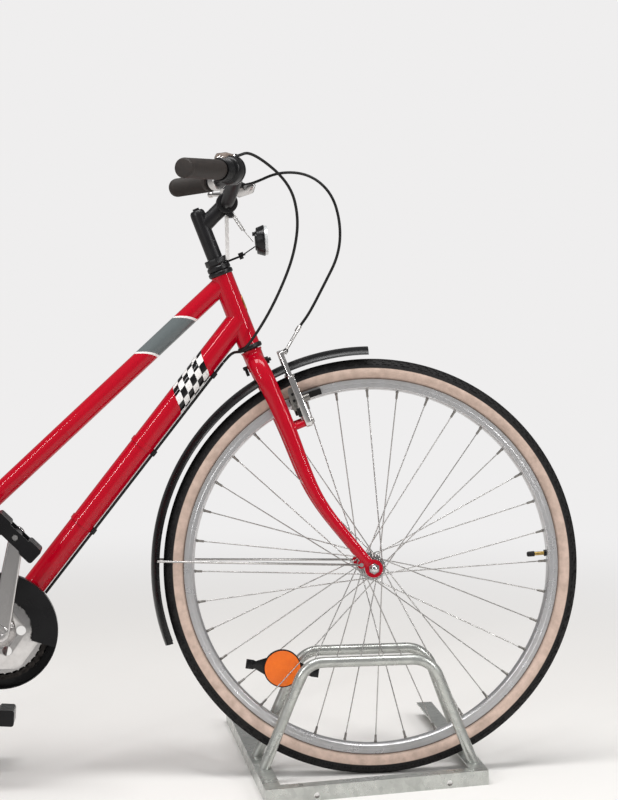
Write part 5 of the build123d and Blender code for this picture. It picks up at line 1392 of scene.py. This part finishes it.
    def lever(self, bench: Bench) -> None:
        """A cast brake lever on its perch, with the adjuster that the cable starts from.

        Args:
            bench: Where the finished pieces go.
        """
        axis = (self.along_grip(Side.LEFT, 200.0) - self.along_grip(Side.LEFT, 0.0)).normalized()
        perch = self.along_grip(Side.LEFT, self.grip_length + 22.0)
        ahead = Vector((1.0, 0.0, -0.25))
        ahead = (ahead - axis * ahead.dot(axis)).normalized()
        pivot = perch + ahead * 32.0
        ring = [
            (self.bar_hole, -10.0), (15.0, -10.0), (16.1, -8.8), (16.1, 8.8), (15.0, 10.0),
            (self.bar_hole, 10.0)
        ]
        shape = Shape().turn(ring, aim(perch, axis, UP), steps=56)
        shape.pipe([perch + ahead * 13.0, perch + ahead * 22.0, perch + ahead * 33.0, perch + ahead * 40.0],
                   [9.0, 10.0, 10.5, 7.0], segments=32, flat=0.8, across=axis)
        shape.pipe(
            [pivot - axis * 17.0, pivot - axis * 15.0, pivot + axis * 18.0, pivot + axis * 21.0],
            [5.6, 8.4, 9.4, 6.4], segments=32
        )
        blade = [pivot - axis * 8.0, pivot - axis * 30.0 + ahead * 14.0, pivot - axis * 78.0 + ahead * 12.0,
                 pivot - axis * 110.0 + ahead * 19.5]
        line = bent_path(blade, 16.0)
        shape.pipe(line, [6.0] * (len(line) - 1) + [4.0], segments=24, flat=0.75)
        shape.ball(line[-1], 6.0)
        bench.add("brake_lever_casting", shape, "polished_alloy", "front_end", ("brake_lever",))
        body = [
            pivot + axis * 4.0 + Vector((3.0, 0.0, -9.0)), pivot + axis * 10.0 + Vector((4.0, 0.0, -9.0)),
            pivot + axis * 46.0 + Vector((6.0, 0.0, -6.0)), pivot + axis * 58.0 + Vector((5.0, 0.0, -2.0))
        ]
        casting = Shape().pipe(body, [7.0, 11.0, 10.0, 5.0], segments=24, flat=0.75, across=UP)
        casting.turn([(0.0, 0.0), (5.4, 0.0), (5.4, 2.0), (3.6, 2.6), (0.0, 2.6)],
                     aim(pivot + axis * 38.0 + Vector((2.0, -6.5, -6.0)), -LEFT, UP), steps=28)
        bench.add("brake_lever_body", casting, "polished_alloy", "front_end")
        barrel = Shape().pipe(
            [pivot + axis * 20.0, pivot + axis * 21.0, pivot + axis * 27.0, pivot + axis * 28.0],
            [5.2, 6.4, 6.4, 4.6], segments=12
        )
        barrel.pipe([pivot + axis * 27.0, pivot + axis * 34.0], 4.4, segments=24)
        bench.add("brake_cable_adjuster", barrel, "black_satin_enamel", "front_end")
        self.brake_cable(bench, pivot, axis)

    def brake_cable(self, bench: Bench, pivot: Vector, axis: Vector) -> None:
        """The brake's outer cable, from the noodle round ahead of the bar to the lever.

        Args:
            bench: Where the finished pieces go.
            pivot: The lever's pivot.
            axis: Which way the bar runs there.
        """
        first, last = steer(392.0, 55.2, 55.0), steer(420.0, 95.0, 53.0)
        run = (last - first).normalized()
        corners = [
            last + run * 0.2, last + run * 26.0 + STEER_FORWARD * 2.0, steer(470.0, 158.0, 50.0),
            steer(508.0, 200.0, 46.0), steer(555.0, 222.0, 44.0), steer(610.0, 228.0, 48.0),
            steer(655.0, 205.0, 60.0), steer(678.0, 160.0, 82.0),
            pivot + axis * 62.0 + Vector((3.0, 0.0, 1.0)), pivot + axis * 34.2
        ]
        cable = Shape().pipe(flowing_path(corners), self.cable_r, segments=16)
        bench.add("brake_cable_housing", cable, "black_rubber", "front_end", ("brake_cable",))

    def gear_cable(self, bench: Bench) -> None:
        """The gear cable's free loop from the shifter to the down tube, attached to no body.

        Args:
            bench: Where the finished pieces go.
        """
        start, run = self.outlet()
        end = cable_lane(73.0)
        corners = [
            start + run * 15.4, start + run * 44.0 - UP, Vector((-128.0, -100.0, 995.0)),
            Vector((-112.0, -76.0, 938.0)), Vector((-120.0, -56.0, 878.0)), Vector((-143.0, -44.0, 820.0)),
            Vector((-172.0, -38.0, 766.0)), Vector((-208.0, -31.0, 716.0)),
            end - DOWN_LINE * 24.0 + UNDER_DOWN_TUBE * 1.5, end
        ]
        shape = Shape().pipe(flowing_path(corners), self.cable_r, segments=16)
        piece = bench.add("gear_cable_housing", shape, "black_rubber", "", ("gear_cable_loop",))
        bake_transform(piece)

    def build(self, bench: Bench) -> None:
        """Builds the cockpit.

        Args:
            bench: Where the finished pieces go.
        """
        self.stem(bench)
        self.headset_nut(bench)
        self.grips(bench)
        self.shifter(bench)
        self.lever(bench)
        self.gear_cable(bench)


@dataclass
class FrontBrake:
    """A linear-pull rim brake: arms, pads, springs, noodle and its boot."""

    boss_s: float = 268.0
    boss_left: float = 41.0
    face_n: float = 38.2
    shoe_turn: float = 110.0
    shoe_half: float = 5.2

    def arm(self, bench: Bench, side: Side) -> None:
        """An arm with everything that is bolted to it.

        Args:
            bench: Where the finished pieces go.
            side: The side of the bicycle.
        """
        sign, name = side.value, side.name.lower()
        place = aim(steer(0.0, self.face_n), STEER_FORWARD, LEFT)
        lower = slot_outline([(sign * self.boss_left, self.boss_s, 8.5), (sign * 42.0, 345.0, 7.0)])
        upper = slot_outline([(sign * 42.0, 345.0, 6.5), (sign * 31.0, 390.0, 4.5)])
        shape = Shape().plate(lower, place, 11.0, soft=1.6)
        shape.plate(upper, place @ Matrix.Translation((0.0, 0.0, 2.0)), 7.0, soft=1.4)
        bench.add(f"brake_arm_{name}_forging", shape, "polished_alloy", "front_end",
                  (f"brake_arm_{name}",))
        fittings = Shape()
        bolt = aim(steer(self.boss_s, 49.0, sign * self.boss_left), STEER_FORWARD, LEFT)
        fittings.turn(
            [(0.0, 0.0), (6.4, 0.0), (6.4, 1.4), (4.4, 1.8), (4.4, 4.6), (3.4, 5.4), (0.0, 5.4)], bolt,
            steps=32
        )
        wire = [
            steer(284.0, 33.0, sign * 45.0), steer(300.0, 45.0, sign * 50.0), steer(330.0, 46.5, sign * 50.5),
            steer(352.0, 48.0, sign * 49.0)
        ]
        fittings.pipe(bent_path(wire, 8.0), 1.0, segments=12)
        fittings.bar(steer(350.0, 48.0, sign * 43.0), steer(350.0, 48.0, sign * 51.0), 2.4, segments=20)
        bench.add(f"brake_bolts_{name}", fittings, "stainless", "front_end")
        clamp = Shape()
        outer = slot_outline([(*self.flat(298.0, 33.0), 6.4), (*self.flat(326.0, 36.0), 6.4)])
        edge = sign * self.boss_left + (3.2 if sign > 0 else 0.2)
        clamp.plate(outer, aim(LEFT * edge, -LEFT, FORWARD), 3.2, soft=0.6)
        spin = aim(steer(300.0, 34.0, sign * 44.0), LEFT * sign, UP)
        clamp.turn(
            [(0.0, 0.0), (5.4, 0.0), (5.4, 1.0), (4.2, 1.4), (4.2, 3.6), (2.6, 3.6), (2.2, 1.8), (0.0, 1.8)],
            spin, steps=32
        )
        clamp.bar(steer(307.0, 46.0, sign * 42.0), steer(307.0, 61.0, sign * 42.0), 6.0)
        clamp.bar(steer(307.0, 57.0, sign * 44.0), steer(307.0, 57.0, sign * 19.0), 3.5)
        bench.add(f"brake_clamp_{name}", clamp, "nickel", "front_end")
        dark = Shape()
        dark.block((11.0, 9.0, 16.0), aim(steer(288.0, 37.0, sign * 42.0), STEER_UP, LEFT), soft=1.2)
        for high, out in ((309.0, 34.6), (320.0, 35.6)):
            dark.bar(steer(high, out, sign * 43.9), steer(high, out, sign * 44.5), 2.4, segments=20, soft=0.1)
        shoe = aim(FRONT_HUB, LEFT, radial(math.radians(self.shoe_turn + self.shoe_half)))
        low, high = sorted((sign * 14.0, sign * 23.0))
        dark.turn(
            [(303.0, low), (313.0, low), (313.0, high), (303.0, high)], shoe, steps=12, arc=2 * self.shoe_half
        )
        bench.add(f"brake_pad_{name}", dark, "black_rubber", "front_end")

    def flat(self, height: float, forward: float) -> tuple[float, float]:
        """X and Z of a point beside the steering axis."""
        point = steer(height, forward)
        return point.x, point.z

    def noodle(self, bench: Bench) -> None:
        """The bent guide tube, its end cap and the boot over the bare wire.

        Args:
            bench: Where the finished pieces go.
        """
        bend = [steer(390.0, 55.2, 30.0), steer(392.0, 55.2, 55.0), steer(420.0, 95.0, 53.0)]
        shape = Shape().pipe(bent_path(bend, 18.0), 2.6, segments=20)
        run = (bend[2] - bend[1]).normalized()
        shape.pipe(
            [bend[2] - run * 12.0, bend[2] - run * 11.0, bend[2] - run * 1.0, bend[2]], [3.0, 3.8, 3.8, 3.0],
            segments=20
        )
        shape.ball(bend[0], 4.4)
        shape.bar(steer(390.0, 47.0, 30.0), steer(390.0, 56.5, 30.0), 3.6, segments=20)
        bench.add("brake_noodle_tube", shape, "stainless", "front_end", ("brake_noodle",))
        boot = [
            steer(390.0, 55.2, 25.0), steer(390.0, 55.0, 22.0), steer(390.0, 54.0, 0.0),
            steer(390.0, 53.0, -10.0)
        ]
        bench.add(
            "brake_wire_boot", Shape().pipe(boot, [3.4, 4.4, 3.6, 2.2], segments=20), "black_rubber",
            "front_end"
        )
        wire = Shape().pipe(
            [steer(390.0, 53.2, -8.0), steer(390.0, 51.0, -31.0), steer(386.0, 50.6, -44.0)], 0.8, segments=10
        )
        wire.bar(steer(390.0, 46.0, -31.0), steer(390.0, 54.0, -31.0), 3.2, segments=20)
        bench.add("brake_inner_wire", wire, "stainless", "front_end")

    def build(self, bench: Bench) -> None:
        """Builds the brake.

        Args:
            bench: Where the finished pieces go.
        """
        for side in Side:
            self.arm(bench, side)
        self.noodle(bench)


@dataclass
class Trim:
    """The head badge, the crown's bolt and the saddles of the gear cable."""

    def badge(self, bench: Bench) -> None:
        """A bare oval head badge.

        Args:
            bench: Where the finished pieces go.
        """
        shape = Shape()
        rings = [
            aim(steer(492.0, reach), STEER_FORWARD, LEFT) @ Matrix.Diagonal((wide, high, 1.0, 1.0)) for reach,
            wide,
            high in (
                (16.8, 9.0, 15.0), (18.6, 9.0, 15.0), (19.0, 8.4, 14.2), (18.8, 7.4, 13.0), (19.3, 3.0, 6.0)
            )
        ]
        shape.skin(rings, segments=40)
        bench.add("head_badge", shape, "gilt_badge", "frame")

    def crown_bolt(self, bench: Bench) -> None:
        """The bolt through the fork's crown that holds the mudguard.

        Args:
            bench: Where the finished pieces go.
        """
        shape = Shape().bar(steer(388.0, -24.0), steer(388.0, 26.0), 3.0, segments=24)
        shape.nut(aim(steer(388.0, 17.0), STEER_FORWARD, LEFT), 6.0, 5.2)
        shape.turn(
            [(0.0, 0.0), (6.8, 0.0), (6.8, 1.2), (0.0, 1.2)], aim(steer(388.0, 15.6), STEER_FORWARD, LEFT),
            steps=32
        )
        shape.nut(aim(steer(380.0, -17.0), -STEER_FORWARD, LEFT), 6.0, 5.2)
        bench.add("crown_bolt", shape, "black_satin_enamel", "front_end")

    def cable_saddles(self, bench: Bench) -> None:
        """Black saddles that hold the gear cable under the down tube, at each painted band.

        Args:
            bench: Where the finished pieces go.
        """
        shape = Shape()
        for station in (95.0, 260.0, 425.0):
            lane = cable_lane(station)
            ring = [lane - DOWN_LINE * 1.0, lane, lane + DOWN_LINE * 9.0, lane + DOWN_LINE * 10.0]
            shape.pipe(ring, [3.6, 4.6, 4.6, 3.6], segments=24)
        bench.add("cable_saddles", shape, "moulded_polypropylene", "frame")

    def build(self, bench: Bench) -> None:
        """Builds the trim.

        Args:
            bench: Where the finished pieces go.
        """
        self.cable_saddles(bench)
        self.badge(bench)
        self.crown_bolt(bench)


@dataclass
class Studio:
    """Floor, soft lights, background and the camera.

    The eye is in millimetres from the floor under the front hub, with the directions in which the picture's
    right side and its middle lie. The other lengths are in metres.
    """

    lens: float = 127.94
    eye: tuple[float, float, float] = (-409.49, -4701.98, 1123.31)
    right: tuple[float, float, float] = (0.99754, -0.06741, -0.01933)
    ahead: tuple[float, float, float] = (0.06508, 0.99257, -0.10284)
    clip_m: float = 60.0
    floor_half_m: float = 30.0
    floor: str = "E8E6E3"
    backdrop: str = "EFEEEE"
    fill: float = 0.55
    mirrored: float = 0.28
    fade_from: float = 1.0
    fade_to: float = 2.8

    def camera(self, bench: Bench) -> None:
        """The camera at the photograph's place.

        Args:
            bench: Where the finished pieces go.
        """
        data = bpy.data.cameras.new("camera")
        data.lens = self.lens
        data.clip_end = self.clip_m
        seen = bpy.data.objects.new("camera", data)
        bpy.context.scene.collection.objects.link(seen)
        ahead = Vector(self.ahead).normalized()
        right = Vector(self.right).normalized()
        up = right.cross(ahead).normalized()
        turned = Matrix((right, up, -ahead)).transposed().to_4x4()
        seen.matrix_world = Matrix.Translation(bench.floor @ Vector(self.eye)) @ turned
        bpy.context.scene.camera = seen

    def surround(self) -> None:
        """A pale floor that fades into a white background, and the world's light."""
        bm = bmesh.new()
        bmesh.ops.create_grid(bm, x_segments=1, y_segments=1, size=self.floor_half_m)
        mesh = bpy.data.meshes.new("studio_floor")
        bm.to_mesh(mesh)
        bm.free()
        mesh.materials.append(self.floor_paint())
        floor = bpy.data.objects.new("studio_floor", mesh)
        bpy.context.scene.collection.objects.link(floor)
        floor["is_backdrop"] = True
        world = bpy.data.worlds.new("studio_world")
        bpy.context.scene.world = world
        world.use_nodes = True
        tree = world.node_tree
        paths = add_node(tree, "ShaderNodeLightPath")
        seen = add_node(
            tree, "ShaderNodeMath", {"operation": "MAXIMUM"},
            {0: paths.outputs["Is Camera Ray"], 1: paths.outputs["Is Transmission Ray"]},
        )
        dimmed = add_node(
            tree, "ShaderNodeMapRange", None,
            {"Value": paths.outputs["Is Glossy Ray"], "To Min": self.fill, "To Max": self.mirrored},
        )
        strength = add_node(
            tree, "ShaderNodeMapRange", None,
            {"Value": seen.outputs["Value"], "To Min": dimmed.outputs["Result"], "To Max": 1.0},
        )
        back = tree.nodes["Background"]
        back.inputs["Color"].default_value = linear(self.backdrop)
        tree.links.new(strength.outputs["Result"], back.inputs["Strength"])

    def floor_paint(self) -> bpy.types.Material:
        """Matt floor paint near the bicycle, which the camera sees fade into the background further off.

        Returns:
            The material.
        """
        material = bpy.data.materials.new("matte_floor_paint")
        material.use_nodes = True
        tree = material.node_tree
        paint = tree.nodes["Principled BSDF"]
        paint.inputs["Base Color"].default_value = linear(self.floor)
        paint.inputs["Roughness"].default_value = 0.9
        paint.inputs["Specular IOR Level"].default_value = 0.2
        radius, _, _ = around(tree, add_node(tree, "ShaderNodeTexCoord").outputs["Object"])
        fade = add_node(
            tree, "ShaderNodeMapRange", {"interpolation_type": "SMOOTHSTEP"},
            {"Value": radius, "From Min": self.fade_from, "From Max": self.fade_to},
        )
        paths = add_node(tree, "ShaderNodeLightPath")
        share = add_node(
            tree, "ShaderNodeMath", {"operation": "MULTIPLY"},
            {0: fade.outputs["Result"], 1: paths.outputs["Is Camera Ray"]},
        )
        glow = add_node(tree, "ShaderNodeEmission", None, {"Color": linear(self.backdrop), "Strength": 1.0})
        mixed = add_node(
            tree, "ShaderNodeMixShader", None,
            {0: share.outputs["Value"], 1: paint.outputs["BSDF"], 2: glow.outputs["Emission"]},
        )
        tree.links.new(mixed.outputs["Shader"], tree.nodes["Material Output"].inputs["Surface"])
        return material

    def lamp(self, name: str, at: tuple[float, float, float], to: tuple[float, float, float],
             size: tuple[float, float], watts: float) -> None:
        """A soft box.

        Args:
            name: The lamp's name.
            at: Where it hangs, in metres.
            to: What it points at.
            size: Its width and height in metres.
            watts: Its power.
        """
        data = bpy.data.lights.new(name, "AREA")
        data.shape = "RECTANGLE"
        data.size, data.size_y = size
        data.energy = watts
        lamp = bpy.data.objects.new(name, data)
        bpy.context.scene.collection.objects.link(lamp)
        lamp.matrix_world = aim(Vector(at), Vector(at) - Vector(to), FORWARD)

    def build(self, bench: Bench) -> None:
        """Builds the studio.

        Args:
            bench: Where the finished pieces go.
        """
        self.camera(bench)
        self.surround()
        self.lamp("overhead_box", (0.2, -0.6, 3.6), (0.2, 0.0, 0.6), (3.0, 1.0), 84.0)
        self.lamp("left_box", (-2.6, -2.6, 2.4), (0.2, 0.0, 0.7), (0.16, 2.6), 40.0)
        self.lamp("right_box", (3.0, -2.2, 2.2), (0.3, 0.0, 0.7), (0.16, 2.6), 36.0)
        settings = bpy.context.scene.view_settings
        settings.view_transform = "Standard"


def make_finishes(bench: Bench) -> None:
    """Makes every finish and gives them to the bench.

    Args:
        bench: Where the finished pieces go.
    """
    front = bench.spot(aim(FRONT_HUB, LEFT, FORWARD))
    rear = bench.spot(aim(REAR_HUB, LEFT, FORWARD))
    tyre = dict(
        slot="tyre_rubber", color="141314", second="242221", wander=0.7, wander_mm=16.0, roughness=0.7,
        specular=0.3, relief_mm=0.15, grain_mm=1.4
    )
    rim = dict(
        slot="rim_aluminium", color="D8D8DA", second="B4B2AF", wander=0.5, wander_mm=30.0, metallic=0.9,
        roughness=0.3, relief_mm=0.05
    )
    kinds = [
        # Enamel sprayed on steel and baked: deep even red under a smooth film, with narrow white highlights
        Enamel("red_stove_enamel", "red_paint", "B8001E", "A00018", wander=0.35, wander_mm=120.0,
               roughness=0.4,
               coat=1.0, coat_ior=1.38, specular=0.04, gloss_wander=0.03,
               top_tube=bench.spot(aim(TOP_TUBE[0], TOP_TUBE[1] - TOP_TUBE[0], UP)),
               down_tube=bench.spot(aim(DOWN_TUBE[0], DOWN_TUBE[1] - DOWN_TUBE[0], UP))),
        # Black enamel sprayed thin on castings: satin, with a faint orange peel
        Finish("black_satin_enamel", "black_paint", "161517", "202022", wander=0.5, roughness=0.36,
               specular=0.35,
               relief_mm=0.03, grain_mm=1.2),
        # Polypropylene from a fine-textured mould: near black, with soft broad highlights
        Finish("moulded_polypropylene", "black_plastic", "0C0C0E", "151517", wander=0.4, roughness=0.28,
               specular=0.35, relief_mm=0.02, grain_mm=1.0),
        # Moulded rubber worn by hands: brownish, dull and slightly dusty
        Finish("grip_rubber", "black_rubber", "221C19", "3B322D", wander=0.6, wander_mm=8.0, roughness=0.62,
               relief_mm=0.12, grain_mm=1.0),
        # Extruded cable cover and brake pads: plain black with a weak sheen
        Finish("black_rubber", "black_rubber", "0E0E0E", "1A1919", wander=0.5, roughness=0.45, specular=0.3,
               relief_mm=0.04, grain_mm=0.8),
        # Vulcanised tread over a tan skinwall: matt and grainy, with painted brown-black shade near the rim,
        # in the gap between tyre and rim
        TyreRubber("front_tyre_rubber", wheel=front, **tyre),
        TyreRubber("rear_tyre_rubber", wheel=rear, **tyre),
        # Extruded aluminium turned on its sides: fine rings round the wheel. They are drawn 1.6 mm apart,
        # coarser than a tool leaves them, so that they show
        TurnedMetal("front_rim_alloy", wheel=front, **rim),
        TurnedMetal("rear_rim_alloy", wheel=rear, **rim),
        # Forged aluminium polished by hand: bright, with soft waves in what it mirrors
        Finish("polished_alloy", "polished_aluminium", "D8D6D5", "A8A6A4", wander=0.4, wander_mm=14.0,
               metallic=0.95, roughness=0.17, relief_mm=0.006, grain_mm=1.5),
        # Turned aluminium hub shell: bright, greyer where dust clings
        Finish("hub_metal", "polished_aluminium", "C9C8C8", "8A8886", wander=0.4, wander_mm=12.0,
               metallic=1.0,
               roughness=0.18),
        # Chrome plated on polished steel: the sharpest mirror here
        Finish("chrome_plate", "stainless_steel", "D8D8DA", "B0AEAC", wander=0.3, wander_mm=10.0,
               metallic=1.0,
               roughness=0.1),
        # Drawn stainless wire and pressed stays: grey, with a satin gloss
        Finish("stainless", "stainless_steel", "C6C4C2", "8F8B88", wander=0.5, wander_mm=20.0, metallic=0.9,
               roughness=0.28),
        # Nickel plated on brass or steel: warmer and darker than chrome
        Finish("nickel", "stainless_steel", "8E8B87", "5E5A56", wander=0.5, wander_mm=8.0, metallic=0.9,
               roughness=0.36),
        # Machined brass gone dull: yellow-brown, with weak reflections
        Finish("brass", "stainless_steel", "B79A5B", "7C6434", wander=0.5, wander_mm=8.0, metallic=0.9,
               roughness=0.34),
        # Steel dipped in zinc: pale crystals in grey, gloss that changes from patch to patch, small runs
        Galvanised("galvanised_steel", "galvanised_steel", "C2C4C0", "989B97", wander=0.7, wander_mm=35.0,
                   metallic=0.75, roughness=0.3, gloss_wander=0.12, relief_mm=0.06, grain_mm=2.0),
        # Embossed vinyl drawn over foam: charcoal, with a fine leather grain
        Finish("saddle_vinyl", "saddle_cover", "1C1B1C", "2A2929", wander=0.4, roughness=0.46, relief_mm=0.1,
               grain_mm=1.1),
        # Acrylic moulded with prisms on its back: strong even colour that breaks into small cells
        Prisms("orange_reflector", "orange_reflector", "F87404", "E05A00", wander=0.5, wander_mm=12.0,
               roughness=0.35, coat=0.5, relief_mm=0.12),
        Prisms("clear_reflector", "clear_reflector", "E6E8E8", "BEC2C3", wander=0.6, wander_mm=6.0,
               metallic=0.3,
               roughness=0.25, coat=1.0, relief_mm=0.12),
        Prisms("red_reflector", "red_reflector", "B30A10", "7C0008", wander=0.5, wander_mm=12.0,
               roughness=0.22,
               coat=1.0, relief_mm=0.5),
        # Pressed steel links under oil and dirt: almost black, with brown-grey gleams
        Finish("oiled_chain_steel", "black_paint", "1D1B1A", "4C4744", wander=0.7, wander_mm=5.0,
               metallic=0.85,
               roughness=0.38),
        # Thin PVC film: milky, half see-through
        Finish("clear_plastic", "clear_reflector", "F4F2F0", "EAE8E6", wander=0.4, roughness=0.4, ior=1.25,
               transmission=0.75),
        # Tinted polycarbonate over the cable: brown-grey and glossy, cloudy in patches
        Finish("smoked_plastic", "black_plastic", "5A4A40", "A79B92", wander=0.8, wander_mm=9.0,
               roughness=0.12,
               coat=1.0),
        # Stamped aluminium with a gold lacquer: dull gold with darker patches
        Finish("gilt_badge", "stainless_steel", "C0924E", "7A4F2A", wander=0.6, wander_mm=5.0, metallic=0.6,
               roughness=0.3, relief_mm=0.1),
    ]
    for kind in kinds:
        bench.finishes[kind.name] = kind.build()
        bench.slots[kind.name] = kind.slot


# The finish of each solid that keeps its own shape, by body.
CARRIED = {
    "front_end": {
        "rack_base": "galvanised_steel", "rack_hoop_near": "galvanised_steel",
        "rack_hoop_far": "galvanised_steel", "fork": "red_stove_enamel",
        "handlebar": "black_satin_enamel",
        "front_mudguard": "moulded_polypropylene",
        "front_mudguard_stays": "stainless",
        "reflector_bracket": "moulded_polypropylene",
        "front_reflector": "moulded_polypropylene",
        "front_reflector_lens": "clear_reflector", "front_axle": "chrome_plate",
    },
    "front_wheel": {
        "spoke_reflector": "orange_reflector",
    },
    "frame": {
        "head_tube": "red_stove_enamel", "headset_cups": "black_satin_enamel",
        "top_tube": "red_stove_enamel", "down_tube": "red_stove_enamel",
        "seat_tube": "red_stove_enamel", "seatpost": "polished_alloy",
        "bottom_bracket_cups": "stainless",
        "saddle_rails": "stainless",
        "chain_stays": "red_stove_enamel", "seat_stays": "red_stove_enamel",
        "rear_axle": "chrome_plate", "rear_mudguard": "moulded_polypropylene",
        "rear_mudguard_stays": "stainless", "rear_reflector": "red_reflector",
        "rear_carrier": "black_satin_enamel", "chain_guard": "moulded_polypropylene",
        "chain": "oiled_chain_steel", "gear_cable_run": "black_rubber",
        "cable_clips": "red_stove_enamel", "kickstand_mount": "black_satin_enamel",
    },
    "kickstand": {"kickstand_leg": "black_satin_enamel"},
    "crankset": {
        "chainring": "polished_alloy", "bb_axle": "stainless",
        "right_crank": "polished_alloy", "left_crank": "polished_alloy",
    },
    "right_pedal": {"right_pedal": "moulded_polypropylene"},
    "left_pedal": {"left_pedal": "moulded_polypropylene"},
    "rear_wheel": {"rear_hub": "hub_metal"},
}

# Width in millimetres of the rounded edges that a solid gets.
SOFT = {
    "headset_cups": 0.8, "right_crank": 1.6, "left_crank": 1.6, "right_pedal": 0.8, "left_pedal": 0.8,
    "rack_base": 0.8, "kickstand_mount": 1.2, "chain_guard": 0.3, "bottom_bracket_cups": 0.5,
}


def write_size(stage: str, sizes: dict[str, list]) -> None:
    """Notes the object's box for one stage."""
    sizes[stage] = [[float(value) for value in corner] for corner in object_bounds()]


def main() -> dict[str, list]:
    """Builds every piece in order.

    Returns:
        The object's box before the pieces were added.
    """
    logging.basicConfig(level=logging.INFO, format="%(name)s: %(message)s")
    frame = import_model()
    sizes: dict[str, list] = {}
    write_size("solids", sizes)
    bench = Bench(frame)
    make_finishes(bench)
    Studio().build(bench)
    front = Wheel(FRONT_HUB, "front", "front_wheel", "front_tyre_rubber", "front_rim_alloy", 18.5, 21.5, 34.0)
    front.build(bench)
    front.front_hub(bench)
    front.valve(bench, 2.6)
    front.reflector(bench)
    rear = Wheel(REAR_HUB, "rear", "rear_wheel", "rear_tyre_rubber", "rear_rim_alloy", 34.5, 38.0, 27.0)
    rear.build(bench)
    rear.valve(bench, 118.0)
    Cockpit().build(bench)
    FrontBrake().build(bench)
    Trim().build(bench)
    saddle = bench.carry("saddle", "saddle_vinyl", "frame")
    for body, nodes in CARRIED.items():
        for node, finish in nodes.items():
            bench.carry(node, finish, body, soft=SOFT.get(node, 0.0))
    return sizes


if __name__ == "__main__":
    SIZES = main()
    write_size("dressed", SIZES)
